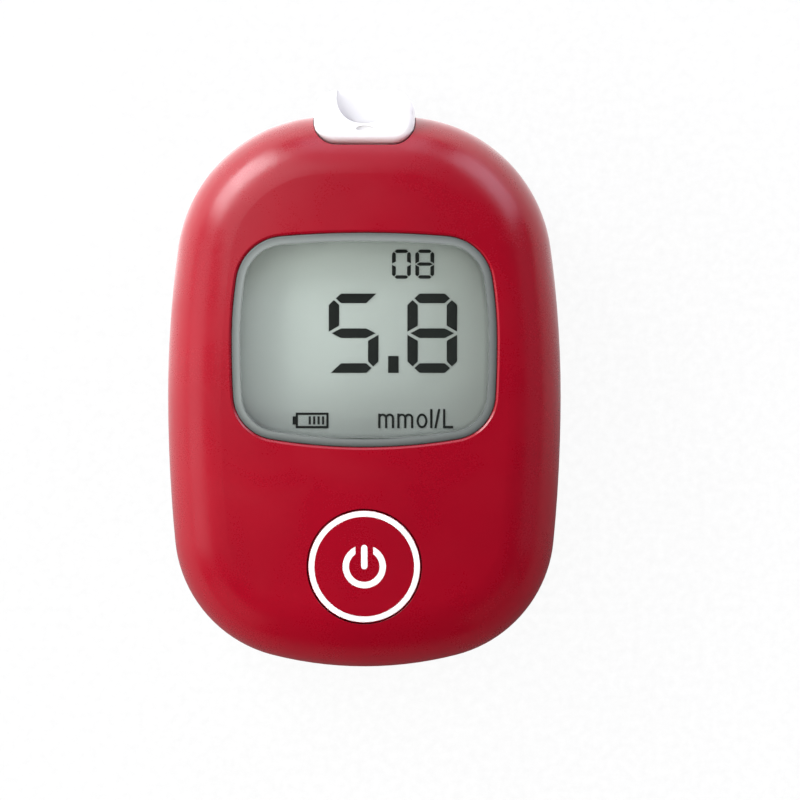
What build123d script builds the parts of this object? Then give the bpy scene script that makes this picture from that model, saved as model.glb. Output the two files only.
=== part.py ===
from build123d import *

import os
from math import hypot, sqrt
from typing import NamedTuple

# Blood glucose meter, in millimetres. It lies on its back with the display facing +Z and the
# strip port towards +Y. X = 0 is the centre plane, Z = 0 the surface it lies on, and Y = 0 the
# middle of the overall length.


class Half(NamedTuple):
    """One half of an oval outline, measured from its widest line towards its end.

    The arcs of its side, end and corner are given by how round they are. With 1 for both, side
    and end are as round as an ellipse is there.
    """

    reach: float
    side: float
    end: float
    corner: float

    def radii(self, half_width):
        return (
            self.side * self.reach**2 / half_width,
            self.end * half_width**2 / self.reach,
            self.corner * sqrt(half_width * self.reach),
        )


# ---------------------------------------------------------------- casing form
BODY_WIDTH = 58.0
BODY_LENGTH = 81.3
PORT_REACH = 3.7  # how far the strip port stands past the casing
WALL = 1.8
SEAM = 9.5  # height of the joint between the two shells
FRONT_ROUNDING = 0.164  # radius around the front's edge, as a share of the casing's width
REAR_ROUND = 7.0
CROWN_ACROSS = 120.0  # radius of the front's crown from side to side
CROWN_ALONG = 310.0  # and from end to end
CROWN_SWEEP = 22.0  # degrees of the crown that are modelled
CROWN_SPAN = 0.75  # half its modelled width, as a share of the body's
CROWN_DEPTH = 3.0  # depth of the solid below it, as a share of the body's height
WIDEST_LINE = 0.507  # from the upper end to the casing's widest line, as a share of its length
LIP_THICKNESS = 0.8
LIP_HEIGHT = 1.2

FRONT_ROUND = BODY_WIDTH * FRONT_ROUNDING
BODY_TOP = BODY_LENGTH / 2 - PORT_REACH / 2
BODY_BOTTOM = BODY_TOP - BODY_LENGTH
PORT_TIP = BODY_TOP + PORT_REACH
WIDEST_FROM_TOP = BODY_LENGTH * WIDEST_LINE
WIDEST_Y = BODY_TOP - WIDEST_FROM_TOP
CASING_UPPER = Half(WIDEST_FROM_TOP, side=2.7, end=6.52, corner=0.645)
CASING_LOWER = Half(BODY_LENGTH - WIDEST_FROM_TOP, side=3.99, end=2.62, corner=0.563)
CROWN_Y = (BODY_TOP + BODY_BOTTOM) / 2

# ---------------------------------------------------------------- clearances
FIT = 0.1  # between fixed pieces
SLIDE = 0.2  # between pieces that slide
SCREW_CLEARANCE = 0.15  # around a screw's shank and head

# ---------------------------------------------------------------- display
WINDOW_ACROSS = 0.678  # window's width, as a share of the casing's
WINDOW_ALONG = 0.391  # and its length
WINDOW_PLACE = 0.407  # from the upper end to the window's centre, as a share of the length
WINDOW_EDGE = 0.3  # bevel around the window
LENS_BELOW = 0.25  # lens face below the casing's surface
LENS_THICKNESS = 1.0
LENS_TAPE = 0.05  # adhesive under the lens
LEDGE_WIDTH = 0.9
LCD_PAST_SIDE = 0.65  # front plate past the window
LCD_PAST_END = 0.8
LCD_ABOVE_BOARD = 0.84
LCD_PLATE = 0.75  # each of the two glass plates
LCD_OVERHANG = 2.2  # front plate past the rear plate at the lower edge
SEGMENT_THICKNESS = 0.06
REFLECTOR_THICKNESS = 0.2
GASKET_WIDTH = 1.2
FRAME_RIM = 1.0
FRAME_SHELF = 1.2
FRAME_CORNER = 2.0
FRAME_BELOW_LCD = 0.4  # frame's top edge below the front plate's face
ZEBRA_WIDTH = 1.5

WINDOW_WIDTH = BODY_WIDTH * WINDOW_ACROSS
WINDOW_LENGTH = BODY_LENGTH * WINDOW_ALONG
WINDOW_Y = BODY_TOP - BODY_LENGTH * WINDOW_PLACE
WINDOW_UPPER = Half(WINDOW_LENGTH / 2, side=4.66, end=6.01, corner=0.419)
WINDOW_LOWER = Half(WINDOW_LENGTH / 2, side=11.66, end=3.38, corner=0.385)
LCD_WIDTH = WINDOW_WIDTH + 2 * LCD_PAST_SIDE
LCD_LENGTH = WINDOW_LENGTH + 2 * LCD_PAST_END
LCD_LOW_Y = WINDOW_Y - LCD_LENGTH / 2
LCD_HIGH_Y = WINDOW_Y + LCD_LENGTH / 2

# ---------------------------------------------------------------- what the display shows
# Places are from the window's centre to the lower left corner of each sign.
BIG_DIGIT = (7.33, 11.7)
BIG_STROKE = (1.53, 1.42)  # of an upright segment and of a level one
SMALL_DIGIT = (2.78, 4.3)
SMALL_STROKE = (0.56, 0.5)
BIG_PLACES = (("acdfg", -5.25, -4.86), ("abcdefg", 6.35, -4.86))
SMALL_PLACES = (("abcdef", 4.08, 9.03), ("abcdefg", 7.52, 9.03))
POINT_PLACE = (3.5, -4.86)
POINT_SIZE = (1.55, 2.5)
# Shape of a segment, as shares of its own stroke.
TIP_IN = 0.67  # from the digit's side to a level segment's tip
SHOULDER_IN = 1.18  # and to its full depth
MIDDLE_TIP_IN = 0.28
CROSS_OUTER = 0.16  # from the digit's middle to an upright segment's outer end
CROSS_INNER = 0.78  # and to its inner end
CUT_OUTER = 0.2  # slanted end that meets no other segment
GAUGE_PLACE = (-10.13, -13.02)
GAUGE_SIZE = (4.85, 2.3)
GAUGE_LINE = 0.33
GAUGE_NUB = (0.45, 1.2)
GAUGE_BARS = 4
GAUGE_BAR = (0.34, 1.22)
GAUGE_BAR_PITCH = 0.655
GAUGE_BAR_END = 0.64  # from the gauge's right edge to its last bar
UNIT_BASE = -13.02
UNIT_STROKE = 0.34
UNIT_LOW = 2.16  # height of the small letters
UNIT_HIGH = 2.83  # and of the tall ones
UNIT_M = (2.36, (2.03, 4.86))  # width, and the left edges of both letters
UNIT_O = (1.62, 7.69)
UNIT_L = (0.34, 9.7)
UNIT_SLASH = (0.92, 10.3)
UNIT_LITRE = (1.5, 11.6)

# ---------------------------------------------------------------- button
BUTTON_ACROSS = 0.2862  # button's diameter, as a share of the casing's width
BUTTON_PLACE = 0.818  # from the upper end to its centre, as a share of the length
BUTTON_TRAVEL = 0.8
BUTTON_SKIN = 1.5
BUTTON_SKIRT = 1.2
BUTTON_FLANGE = 0.9
FLANGE_THICKNESS = 0.7
FLANGE_ABOVE_BOARD = 0.4  # with the button held down
COLLAR_WALL = 1.2
RING_IN = 0.1  # from the cap's edge
RING_STROKE = 0.85
INLAY_DEPTH = 0.4
SYMBOL_DIAMETER = 6.4
SYMBOL_STROKE = 0.95
SYMBOL_OPENING = 2.6  # width of the gap at the top of the symbol's ring
SYMBOL_BAR = 3.6
STEM_DIAMETER = 4.0
DOME_DIAMETER = 8.0
DOME_TOP_DIAMETER = 4.2
DOME_WAIST = 5.8
DOME_INNER_TOP = 3.5
DOME_INNER_BASE = 5.0
DOME_SKIN = 0.5
PILL_DIAMETER = 3.0
PILL_THICKNESS = 0.3
PILL_LIFT = 0.02  # left between pill and board with the button held down

BUTTON_DIAMETER = BODY_WIDTH * BUTTON_ACROSS
BUTTON_Y = BODY_TOP - BODY_LENGTH * BUTTON_PLACE
BUTTON_SPOT = (0.0, BUTTON_Y)
RING_DIAMETER = BUTTON_DIAMETER - 2 * RING_IN
COLLAR_DIAMETER = BUTTON_DIAMETER + 2 * (SLIDE + COLLAR_WALL)

# ---------------------------------------------------------------- batteries and their bay
CELL_DIAMETER = 10.5
CELL_LENGTH = 44.5
CELL_EDGE = 0.5
CELL_NUB_DIAMETER = 3.8
CELL_NUB = 0.8
CELL_PITCH = 11.0
SPRING_LENGTH = 3.4  # battery spring, pressed by its cell
SPRING_DIAMETER = 6.0
SPRING_WIRE = 0.5
SPRING_TURNS = 3.5
PLATE_THICKNESS = 0.3
PLATE_WIDTH = 8.0
PLATE_HEIGHT = 8.8
TAB_WIDTH = 2.5
BAY_WALL = 1.2
BAY_ROOF = 0.8
BAY_SIDE_GAP = 0.25
BAY_FROM_END = 11.3  # from the casing's lower end

# ---------------------------------------------------------------- battery door
DOOR_THICKNESS = 1.2
DOOR_RECESS = 0.1  # door's face in from the casing's surface
DOOR_MARGIN = 3.0  # door's edge past the bay's side
CELL_ABOVE_DOOR = 0.5
CAP_REACH = 5.9  # length of the part that wraps up the casing's lower end
CAP_HEIGHT = 4.0
TONGUE_LOW = 2.1
TONGUE_THICKNESS = 0.8
TONGUE_REACH = 1.0
TONGUE_WEB = 1.2
WEB_IN = 0.3  # web's outer side in from the door's edge
RAIL_WALL = 1.0
LABEL_SIZE = (19.0, 26.0)
LABEL_FROM_EDGE = 3.5
LABEL_THICKNESS = 0.12
LABEL_POCKET = 0.2
GRIP_WIDTH = 12.0
GRIP_COUNT = 5
GRIP_PITCH = 1.7
GRIP_GROOVE = 0.8
GRIP_DEPTH = 0.35
GRIP_FROM_CAP = 0.8

CELL_Z = DOOR_THICKNESS + CELL_ABOVE_DOOR + CELL_DIAMETER / 2
CELL_X = CELL_PITCH / 2
BAY_SIDE = CELL_X + CELL_DIAMETER / 2 + BAY_SIDE_GAP
BAY_LOW_Y = BODY_BOTTOM + BAY_FROM_END
BAY_HIGH_Y = BAY_LOW_Y + CELL_LENGTH + SPRING_LENGTH + 2 * (PLATE_THICKNESS + FIT)
BAY_CEILING = CELL_Z + CELL_DIAMETER / 2 + SLIDE
PLATE_HIGH_Y = BAY_HIGH_Y - FIT - PLATE_THICKNESS
PLATE_LOW_Y = BAY_LOW_Y + FIT + PLATE_THICKNESS
DOOR_SIDE = BAY_SIDE + DOOR_MARGIN
DOOR_HIGH_Y = BAY_HIGH_Y + DOOR_MARGIN
WEB_OUTER = DOOR_SIDE - WEB_IN
TONGUE_SIDE = DOOR_SIDE + TONGUE_REACH
TONGUE_HIGH = TONGUE_LOW + TONGUE_THICKNESS
CAP_Y = BODY_BOTTOM + CAP_REACH
PLATE_LOW = CELL_Z - PLATE_HEIGHT / 2
PLATE_HIGH = CELL_Z + PLATE_HEIGHT / 2
LABEL_Y = DOOR_HIGH_Y - LABEL_FROM_EDGE - LABEL_SIZE[1] / 2
CHANNEL_INNER = WEB_OUTER - TONGUE_WEB - SLIDE
CHANNEL_OUTER = TONGUE_SIDE + SLIDE
CHANNEL_HIGH = TONGUE_HIGH + SLIDE
RAIL_SIDE = CHANNEL_OUTER + RAIL_WALL
RAIL_HIGH = CHANNEL_HIGH + RAIL_WALL

# ---------------------------------------------------------------- heights of the stack
# The casing is as high as what lies in it: door, cells, bay roof, board, display and lens.
BOARD_THICKNESS = 1.0
GASKET_LEAST = 0.68  # gasket's height at the display's corners

BOARD_BOTTOM = BAY_CEILING + BAY_ROOF + FIT
BOARD_TOP = BOARD_BOTTOM + BOARD_THICKNESS
LCD_BOTTOM = BOARD_TOP + LCD_ABOVE_BOARD
LCD_REAR_PLATE = LCD_BOTTOM + REFLECTOR_THICKNESS
LCD_SEGMENTS = LCD_REAR_PLATE + LCD_PLATE
LCD_FRONT_PLATE = LCD_SEGMENTS + SEGMENT_THICKNESS
LCD_TOP = LCD_FRONT_PLATE + LCD_PLATE
CROWN_DROP = (
    (LCD_WIDTH / 2) ** 2 / (2 * CROWN_ACROSS)
    + (abs(WINDOW_Y - CROWN_Y) + LCD_LENGTH / 2) ** 2 / (2 * CROWN_ALONG)
)
BODY_HEIGHT = LCD_TOP + GASKET_LEAST + WALL + CROWN_DROP
DOME_TOP = BOARD_TOP + BUTTON_TRAVEL + PILL_LIFT + PILL_THICKNESS + DOME_SKIN
FLANGE_BOTTOM = BOARD_TOP + BUTTON_TRAVEL + FLANGE_ABOVE_BOARD
FLANGE_TOP = FLANGE_BOTTOM + FLANGE_THICKNESS

# ---------------------------------------------------------------- strip port and connector
NOTCH_WIDTH = 15.1
NOTCH_DEPTH = 4.3
NOTCH_CORNER = 3.4
NOTCH_BELOW_STRIP = 7.9
PORT_FLANGE = 1.2
PORT_ROOF = 0.5  # inner end's wall above the strip
PORT_BACK_ABOVE_STRIP = 2.1
PORT_TIP_ABOVE_STRIP = 1.0
PORT_CHIN = 2.0  # rise of its underside towards the tip
PORT_ROUND = 1.2
MOUTH_WIDTH = 8.2
MOUTH_FROM_TIP = 4.8
MOUTH_CORNER = 3.6
STRIP_WIDTH = 7.0
STRIP_HEIGHT = 0.8
STRIP_ABOVE_BOARD = 1.0
MARK_SIZE = (2.6, 0.9)
MARK_FROM_TIP = 5.65
MARK_DEPTH = 0.3
CONNECTOR_WALL = 2.3
CONNECTOR_FROM_FRAME = 1.35  # room for the contacts' feet beside the display's frame
CONNECTOR_HEIGHT = 2.1
CONNECTOR_BEVEL = 0.4
CONTACT_COUNT = 5
CONTACT_PITCH = 1.35
CONTACT_WIDTH = 0.7
CONTACT_SHEET = 0.15
CONTACT_FOOT = 1.0
CONTACT_DIP = 4.8  # from the connector's back to where a contact presses the strip
CONTACT_END = 6.0

STRIP_Z = BOARD_TOP + STRIP_ABOVE_BOARD
STRIP_FLOOR = STRIP_Z - STRIP_HEIGHT / 2
STRIP_CEILING = STRIP_Z + STRIP_HEIGHT / 2
NOTCH_Y = BODY_TOP - NOTCH_DEPTH
NOTCH_FLOOR = STRIP_FLOOR - NOTCH_BELOW_STRIP
PORT_SIDE = NOTCH_WIDTH / 2 + PORT_FLANGE
PORT_BACK = NOTCH_Y - PORT_FLANGE
HALF_STRIP = STRIP_WIDTH / 2 + SLIDE
CONNECTOR_FRONT = PORT_BACK - FIT
CONNECTOR_BACK = LCD_HIGH_Y + FIT + FRAME_RIM + CONNECTOR_FROM_FRAME
CONNECTOR_WIDTH = STRIP_WIDTH + 2 * (SLIDE + CONNECTOR_WALL)

# ---------------------------------------------------------------- screws
UPPER_CASE_SCREW = (0.25, 11.5)  # from the door's channel and from the casing's upper end
LOWER_CASE_SCREW = (1.35, 13.5)  # and from its lower end
FRONT_BOSS = 5.0
REAR_BOSS = 6.2
BOSS_BELOW_SEAM = 3.5  # where the bosses of both shells meet
CASE_SCREW = 2.0
CASE_SCREW_LENGTH = 8.0
CASE_SCREW_HEAD = 3.8
CASE_SCREW_HEAD_HEIGHT = 1.3
CASE_SCREW_SEAT = 2.2
SCREW_DRIVE = 0.45  # width of a head's cross slot
SCREW_DRIVE_LENGTH = 0.62  # as a share of the head
SCREW_DRIVE_DEPTH = 0.5
UPPER_BOARD_SCREW = (2.75, 9.8)  # from the port's flange and from the casing's upper end
LOWER_BOARD_SCREW = (19.0, 3.5)  # from the centre plane and from the display
BOARD_POST = 3.6
BOARD_SCREW = 1.4
BOARD_SCREW_LENGTH = 3.6
BOARD_SCREW_HEAD = 2.8
BOARD_SCREW_HEAD_HEIGHT = 0.9
HOLE_SPARE = 0.6  # a blind hole's depth past its screw

BOSS_MEET = SEAM - BOSS_BELOW_SEAM
SCREW_SEAT_SIDE = CHANNEL_OUTER + CASE_SCREW_HEAD / 2 + SCREW_CLEARANCE
CASE_SCREWS = [
    (side * (SCREW_SEAT_SIDE + out), y)
    for out, y in (
        (UPPER_CASE_SCREW[0], BODY_TOP - UPPER_CASE_SCREW[1]),
        (LOWER_CASE_SCREW[0], BODY_BOTTOM + LOWER_CASE_SCREW[1]),
    )
    for side in (1, -1)
]
BOARD_SCREWS = [
    (side * x, y)
    for x, y in (
        (PORT_SIDE + UPPER_BOARD_SCREW[0], BODY_TOP - UPPER_BOARD_SCREW[1]),
        (LOWER_BOARD_SCREW[0], LCD_LOW_Y - LOWER_BOARD_SCREW[1]),
    )
    for side in (1, -1)
]

# ---------------------------------------------------------------- what is on the board
BOARD_INSET = 3.6
CHIP_GAP = 0.7  # from the strip connector to the chips beside it
PROCESSOR_SIZE = (6.0, 6.0, 1.2)
PROCESSOR_PLACE = (2.55, 0.9)  # from the button's collar and from the casing's screw boss
AMPLIFIER_SIZE = (3.0, 4.4, 1.0)
CRYSTAL_SIZE = (1.6, 4.0, 0.9)
CHIP_PAST_CONTACTS = 2.7
PASSIVE_SIZE = (1.6, 0.8, 0.5)
PASSIVE_PITCH = (3.4, 2.0)
PASSIVE_ROW_BELOW_LCD = 4.2
PASSIVE_ROW = (-3, -2, 2, 3)  # places in the row, counted from the centre plane
PASSIVE_BLOCK = 3.8  # from the button's collar to the block of components beside it
PASSIVE_BLOCK_ROWS = 3
BUZZER_DIAMETER = 8.4
BUZZER_HEIGHT = 4.0
BUZZER_PORT = 1.6
BUZZER_FROM_TOP = 26.8
SOUND_HOLE = 1.0
SOUND_CIRCLE = 2.0
SOUND_COUNT = 4

PROCESSOR_SPOT = (
    -(COLLAR_DIAMETER / 2 + PROCESSOR_PLACE[0] + PROCESSOR_SIZE[0] / 2),
    BODY_BOTTOM + LOWER_CASE_SCREW[1] + FRONT_BOSS / 2 + PROCESSOR_PLACE[1] + PROCESSOR_SIZE[1] / 2,
)
CHIP_Y = CONNECTOR_BACK + CHIP_PAST_CONTACTS
AMPLIFIER_SPOT = (CONNECTOR_WIDTH / 2 + CHIP_GAP + AMPLIFIER_SIZE[0] / 2, CHIP_Y)
CRYSTAL_SPOT = (-(CONNECTOR_WIDTH / 2 + CHIP_GAP + CRYSTAL_SIZE[0] / 2), CHIP_Y)
PASSIVE_SPOTS = [
    (place * PASSIVE_PITCH[0], LCD_LOW_Y - PASSIVE_ROW_BELOW_LCD) for place in PASSIVE_ROW
] + [
    (
        COLLAR_DIAMETER / 2 + PASSIVE_BLOCK + column * PASSIVE_PITCH[0],
        PROCESSOR_SPOT[1] + (row - 1) * PASSIVE_PITCH[1],
    )
    for column in range(2)
    for row in range(PASSIVE_BLOCK_ROWS)
]
BUZZER_SPOT = (-(RAIL_SIDE + BUZZER_DIAMETER / 2 - RAIL_WALL), BODY_TOP - BUZZER_FROM_TOP)

os.makedirs("parts", exist_ok=True)


# ================================================================ shared geometry
def arc_middle(centre, radius, start, end):
    """Point halfway along the arc about centre from start to end."""
    x = start[0] + end[0] - 2 * centre[0]
    y = start[1] + end[1] - 2 * centre[1]
    scale = radius / hypot(x, y)
    return (centre[0] + x * scale, centre[1] + y * scale)


def touch_point(centre, radius, other):
    """Point on the circle about centre in the direction of other."""
    x, y = other[0] - centre[0], other[1] - centre[1]
    scale = radius / hypot(x, y)
    return (centre[0] + x * scale, centre[1] + y * scale)


def half_points(half_width, half, inset):
    """The points of one quadrant: widest, side middle, side end, corner middle, corner end."""
    side_radius, end_radius, corner_radius = (r - inset for r in half.radii(half_width))
    side = (half_width - inset - side_radius, 0.0)
    end = (0.0, half.reach - inset - end_radius)
    span = hypot(side[0], end[1])
    to_side = side_radius - corner_radius
    to_end = end_radius - corner_radius
    along = (to_side**2 - to_end**2 + span**2) / (2 * span)
    off = sqrt(to_side**2 - along**2)
    foot = (side[0] - side[0] * along / span, end[1] * along / span)
    corner = max(
        (foot[0] + off * end[1] / span, foot[1] + off * side[0] / span),
        (foot[0] - off * end[1] / span, foot[1] - off * side[0] / span),
    )
    widest = (half_width - inset, 0.0)
    side_end = touch_point(side, side_radius, corner)
    corner_end = touch_point(end, end_radius, corner)
    return (
        widest,
        arc_middle(side, side_radius, widest, side_end),
        side_end,
        arc_middle(corner, corner_radius, side_end, corner_end),
        corner_end,
    )


def oval(half_width, widest_y, upper, lower, inset=0.0):
    """Face inside a side, a corner and an end arc in each half, all tangent, moved in by inset."""
    with BuildSketch() as face:
        with BuildLine():
            for up, half in ((1, upper), (-1, lower)):
                points = half_points(half_width, half, inset)
                for right in (1, -1):
                    p = [(right * x, widest_y + up * y) for x, y in points]
                    ThreePointArc(p[0], p[1], p[2])
                    ThreePointArc(p[2], p[3], p[4])
                x, y = points[-1]
                tip = widest_y + up * (half.reach - inset)
                ThreePointArc((-x, widest_y + up * y), (0, tip), (x, widest_y + up * y))
        make_face()
    return face.sketch


def casing_outline(inset=0.0):
    return oval(BODY_WIDTH / 2, WIDEST_Y, CASING_UPPER, CASING_LOWER, inset)


def window_outline(inset=0.0):
    return oval(WINDOW_WIDTH / 2, WINDOW_Y, WINDOW_UPPER, WINDOW_LOWER, inset)


def crown(inset=0.0):
    """Solid under the crowned front face, moved in by inset."""
    across = CROWN_ACROSS - inset
    along = CROWN_ALONG - inset
    centre = BODY_HEIGHT - CROWN_ALONG
    half_span = BODY_WIDTH * CROWN_SPAN
    drop = across - sqrt(across**2 - half_span**2)
    depth = BODY_HEIGHT * CROWN_DEPTH
    with BuildPart() as form:
        with BuildLine(Plane((0, CROWN_Y, 0), x_dir=(0, 1, 0), z_dir=(1, 0, 0))) as path:
            CenterArc((0, centre), along, 90 - CROWN_SWEEP / 2, CROWN_SWEEP)
        with BuildSketch(Plane(path.line @ 0, x_dir=(1, 0, 0), z_dir=path.line % 0)):
            with BuildLine():
                ThreePointArc((-half_span, -drop), (0, 0), (half_span, -drop))
                Polyline(
                    (half_span, -drop), (half_span, -depth), (-half_span, -depth),
                    (-half_span, -drop),
                )
            make_face()
        sweep()
    return form.part


def body_form(inset=0.0):
    """The whole casing as one solid pebble, moved in by inset."""
    with BuildPart() as form:
        with BuildSketch(Plane.XY.offset(inset)):
            add(casing_outline(inset))
        extrude(amount=2 * BODY_HEIGHT)
        add(crown(inset), mode=Mode.INTERSECT)
        top = form.faces().sort_by(Axis.Z)[-1]
        fillet(top.outer_wire().edges(), radius=FRONT_ROUND - inset)
        bottom = form.faces().filter_by(Axis.Z).sort_by(Axis.Z)[0]
        fillet(bottom.outer_wire().edges(), radius=REAR_ROUND - inset)
    return form.part


OUTER = body_form()
MIDDLE = body_form(WALL / 2)  # inner features end inside the wall here
CAVITY = body_form(WALL)
FREE = body_form(WALL + SLIDE)  # space for pieces inside the casing


def span_box(x, y, z, mode=Mode.ADD):
    """Box between the low and high value given for each axis."""
    middle = [(low + high) / 2 for low, high in (x, y, z)]
    with Locations(tuple(middle)):
        Box(x[1] - x[0], y[1] - y[0], z[1] - z[0], mode=mode)


def side_boxes(x, y, z, mode=Mode.ADD):
    """The same box on both sides of the centre plane."""
    span_box(x, y, z, mode)
    span_box((-x[1], -x[0]), y, z, mode)


def disc(spot, diameter, z, mode=Mode.ADD):
    """Upright cylinder at spot between two heights."""
    with Locations((spot[0], spot[1], (z[0] + z[1]) / 2)):
        Cylinder(diameter / 2, z[1] - z[0], mode=mode)


def place(part, name):
    part.label = name
    export_step(part, f"parts/{name}.step")


# ================================================================ front shell and window
with BuildPart() as lens_space:
    with BuildSketch(Plane.XY.offset(SEAM)):
        add(window_outline())
    extrude(amount=BODY_HEIGHT)
    add(crown(LENS_BELOW + LENS_THICKNESS), mode=Mode.SUBTRACT)

with BuildPart() as front_features:
    disc(BUTTON_SPOT, COLLAR_DIAMETER, (FLANGE_TOP + SLIDE, BODY_HEIGHT))
    for spot in CASE_SCREWS:
        disc(spot, FRONT_BOSS, (BOSS_MEET, BODY_HEIGHT))
    add(MIDDLE, mode=Mode.INTERSECT)

with BuildPart() as notch_space:
    notch_length = 2 * (NOTCH_DEPTH + PORT_REACH)
    with BuildSketch(Plane.XY.offset(NOTCH_FLOOR)):
        with Locations((0, NOTCH_Y + notch_length / 2)):
            RectangleRounded(NOTCH_WIDTH, notch_length, NOTCH_CORNER)
    extrude(amount=BODY_HEIGHT)

with BuildPart() as front_shell:
    add(OUTER)
    add(CAVITY, mode=Mode.SUBTRACT)
    split(bisect_by=Plane.XY.offset(SEAM), keep=Keep.TOP)
    with BuildSketch(Plane.XY.offset(SEAM)):
        add(casing_outline(WALL - LIP_THICKNESS - FIT))
    extrude(amount=LIP_HEIGHT + FIT, mode=Mode.SUBTRACT)
    add(front_features.part)
    add(lens_space.part, mode=Mode.SUBTRACT)
    with BuildSketch(Plane.XY.offset(SEAM)):
        add(window_outline(LEDGE_WIDTH))
    extrude(amount=BODY_HEIGHT, mode=Mode.SUBTRACT)
    disc(BUTTON_SPOT, BUTTON_DIAMETER + 2 * SLIDE, (SEAM, BODY_HEIGHT), Mode.SUBTRACT)
    add(notch_space.part, mode=Mode.SUBTRACT)
    for spot in CASE_SCREWS:
        hole_end = CASE_SCREW_SEAT + CASE_SCREW_LENGTH + HOLE_SPARE
        disc(spot, CASE_SCREW + 2 * SCREW_CLEARANCE, (BOSS_MEET, hole_end), Mode.SUBTRACT)
    face = front_shell.faces().sort_by(Axis.Z)[-1]
    rim = max(face.inner_wires(), key=lambda wire: wire.length)
    chamfer(rim.edges(), WINDOW_EDGE)
place(front_shell.part, "front_shell")

with BuildPart() as display_lens:
    with BuildSketch(Plane.XY.offset(SEAM)):
        add(window_outline(FIT))
    extrude(amount=BODY_HEIGHT)
    add(crown(LENS_BELOW), mode=Mode.INTERSECT)
    add(crown(LENS_BELOW + LENS_THICKNESS - LENS_TAPE), mode=Mode.SUBTRACT)
place(display_lens.part, "display_lens")

with BuildPart() as lcd_gasket:
    with BuildSketch(Plane.XY.offset(LCD_TOP)):
        add(window_outline(LEDGE_WIDTH - GASKET_WIDTH))
        add(window_outline(LEDGE_WIDTH), mode=Mode.SUBTRACT)
    extrude(amount=BODY_HEIGHT - LCD_TOP)
    add(crown(WALL + FIT / 2), mode=Mode.INTERSECT)
place(lcd_gasket.part, "lcd_gasket")

# ================================================================ display module
REAR_PLATE_LOW_Y = LCD_LOW_Y + LCD_OVERHANG


def lcd_sheet(low_y, z):
    """Plate of the display's width from low_y to its upper edge."""
    with BuildPart() as sheet:
        span_box((-LCD_WIDTH / 2, LCD_WIDTH / 2), (low_y, LCD_HIGH_Y), z)
    return sheet.part


place(lcd_sheet(LCD_LOW_Y, (LCD_FRONT_PLATE, LCD_TOP)), "lcd_front_glass")
place(lcd_sheet(REAR_PLATE_LOW_Y, (LCD_REAR_PLATE, LCD_SEGMENTS)), "lcd_rear_glass")
place(lcd_sheet(REAR_PLATE_LOW_Y, (LCD_BOTTOM, LCD_REAR_PLATE)), "lcd_reflector")


def digit(lit, x, y, size, stroke):
    """Seven-segment digit with its lower left corner at x, y.

    Segments are a to g from the top, clockwise, g in the middle. The end of a top or bottom
    segment is pointed beside a lit upright one, and a plain slant where the digit is open.
    """
    width, height = size
    upright, level = stroke
    tip, shoulder, outer = upright * TIP_IN, upright * SHOULDER_IN, upright * CUT_OUTER
    middle = height / 2

    def at(points):
        with Locations((x, y)):
            Polygon(*points, align=None)

    for name, left_side, right_side, edge, inner in (
        ("a", "f", "b", height, height - level), ("d", "e", "c", 0.0, level)
    ):
        if name not in lit:
            continue
        points = []
        for side, near, way in ((left_side, 0.0, 1), (right_side, width, -1)):
            if side in lit:
                end = [(near + way * shoulder, edge), (near + way * tip, (edge + inner) / 2)]
            else:
                end = [(near + way * outer, edge)]
            end.append((near + way * shoulder, inner))
            points += end if way == 1 else end[::-1]
        at(points)
    if "g" in lit:
        near, half = upright * MIDDLE_TIP_IN, level / 2
        at([
            (near, middle), (shoulder, middle + half), (width - shoulder, middle + half),
            (width - near, middle), (width - shoulder, middle - half), (shoulder, middle - half),
        ])
    for name, right_side, top_side in (
        ("f", False, True), ("b", True, True), ("e", False, False), ("c", True, False)
    ):
        if name not in lit:
            continue
        points = [
            (0, middle + level * CROSS_OUTER), (0, height - level * SHOULDER_IN),
            (upright / 2, height - level * TIP_IN), (upright, height - level * SHOULDER_IN),
            (upright, middle + level * CROSS_INNER),
        ]
        if right_side:
            points = [(width - px, py) for px, py in points]
        if not top_side:
            points = [(px, height - py) for px, py in points]
        at(points)


def corner_rectangle(x, y, width, height, mode=Mode.ADD):
    """Rectangle with its lower left corner at x, y."""
    with Locations((x + width / 2, y + height / 2)):
        Rectangle(width, height, mode=mode)


def letter_m(left):
    """Lower-case m of three posts and two arches."""
    reach = (UNIT_M[0] - UNIT_STROKE) / 2
    spring = UNIT_BASE + UNIT_LOW - UNIT_STROKE / 2 - reach / 2
    for post in range(3):
        top = UNIT_BASE + UNIT_LOW if post == 0 else spring
        corner_rectangle(left + post * reach, UNIT_BASE, UNIT_STROKE, top - UNIT_BASE)
    for arch in range(2):
        centre = (left + UNIT_STROKE / 2 + (arch + 0.5) * reach, spring)
        with BuildSketch(mode=Mode.PRIVATE) as bow:
            with Locations(centre):
                Circle((reach + UNIT_STROKE) / 2)
                Circle((reach - UNIT_STROKE) / 2, mode=Mode.SUBTRACT)
            corner_rectangle(centre[0] - reach, spring - reach, 2 * reach, reach, Mode.SUBTRACT)
        add(bow.sketch)


def battery_gauge():
    """Battery sign: an outline with its nub on the left and bars at its right end."""
    x, y = GAUGE_PLACE
    width, height = GAUGE_SIZE
    corner_rectangle(x, y, width, height)
    corner_rectangle(
        x + GAUGE_LINE, y + GAUGE_LINE, width - 2 * GAUGE_LINE, height - 2 * GAUGE_LINE,
        Mode.SUBTRACT,
    )
    corner_rectangle(x - GAUGE_NUB[0], y + (height - GAUGE_NUB[1]) / 2, *GAUGE_NUB)
    for bar in range(GAUGE_BARS):
        left = x + width - GAUGE_BAR_END - GAUGE_BAR[0] - bar * GAUGE_BAR_PITCH
        corner_rectangle(left, y + (height - GAUGE_BAR[1]) / 2, *GAUGE_BAR)


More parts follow.
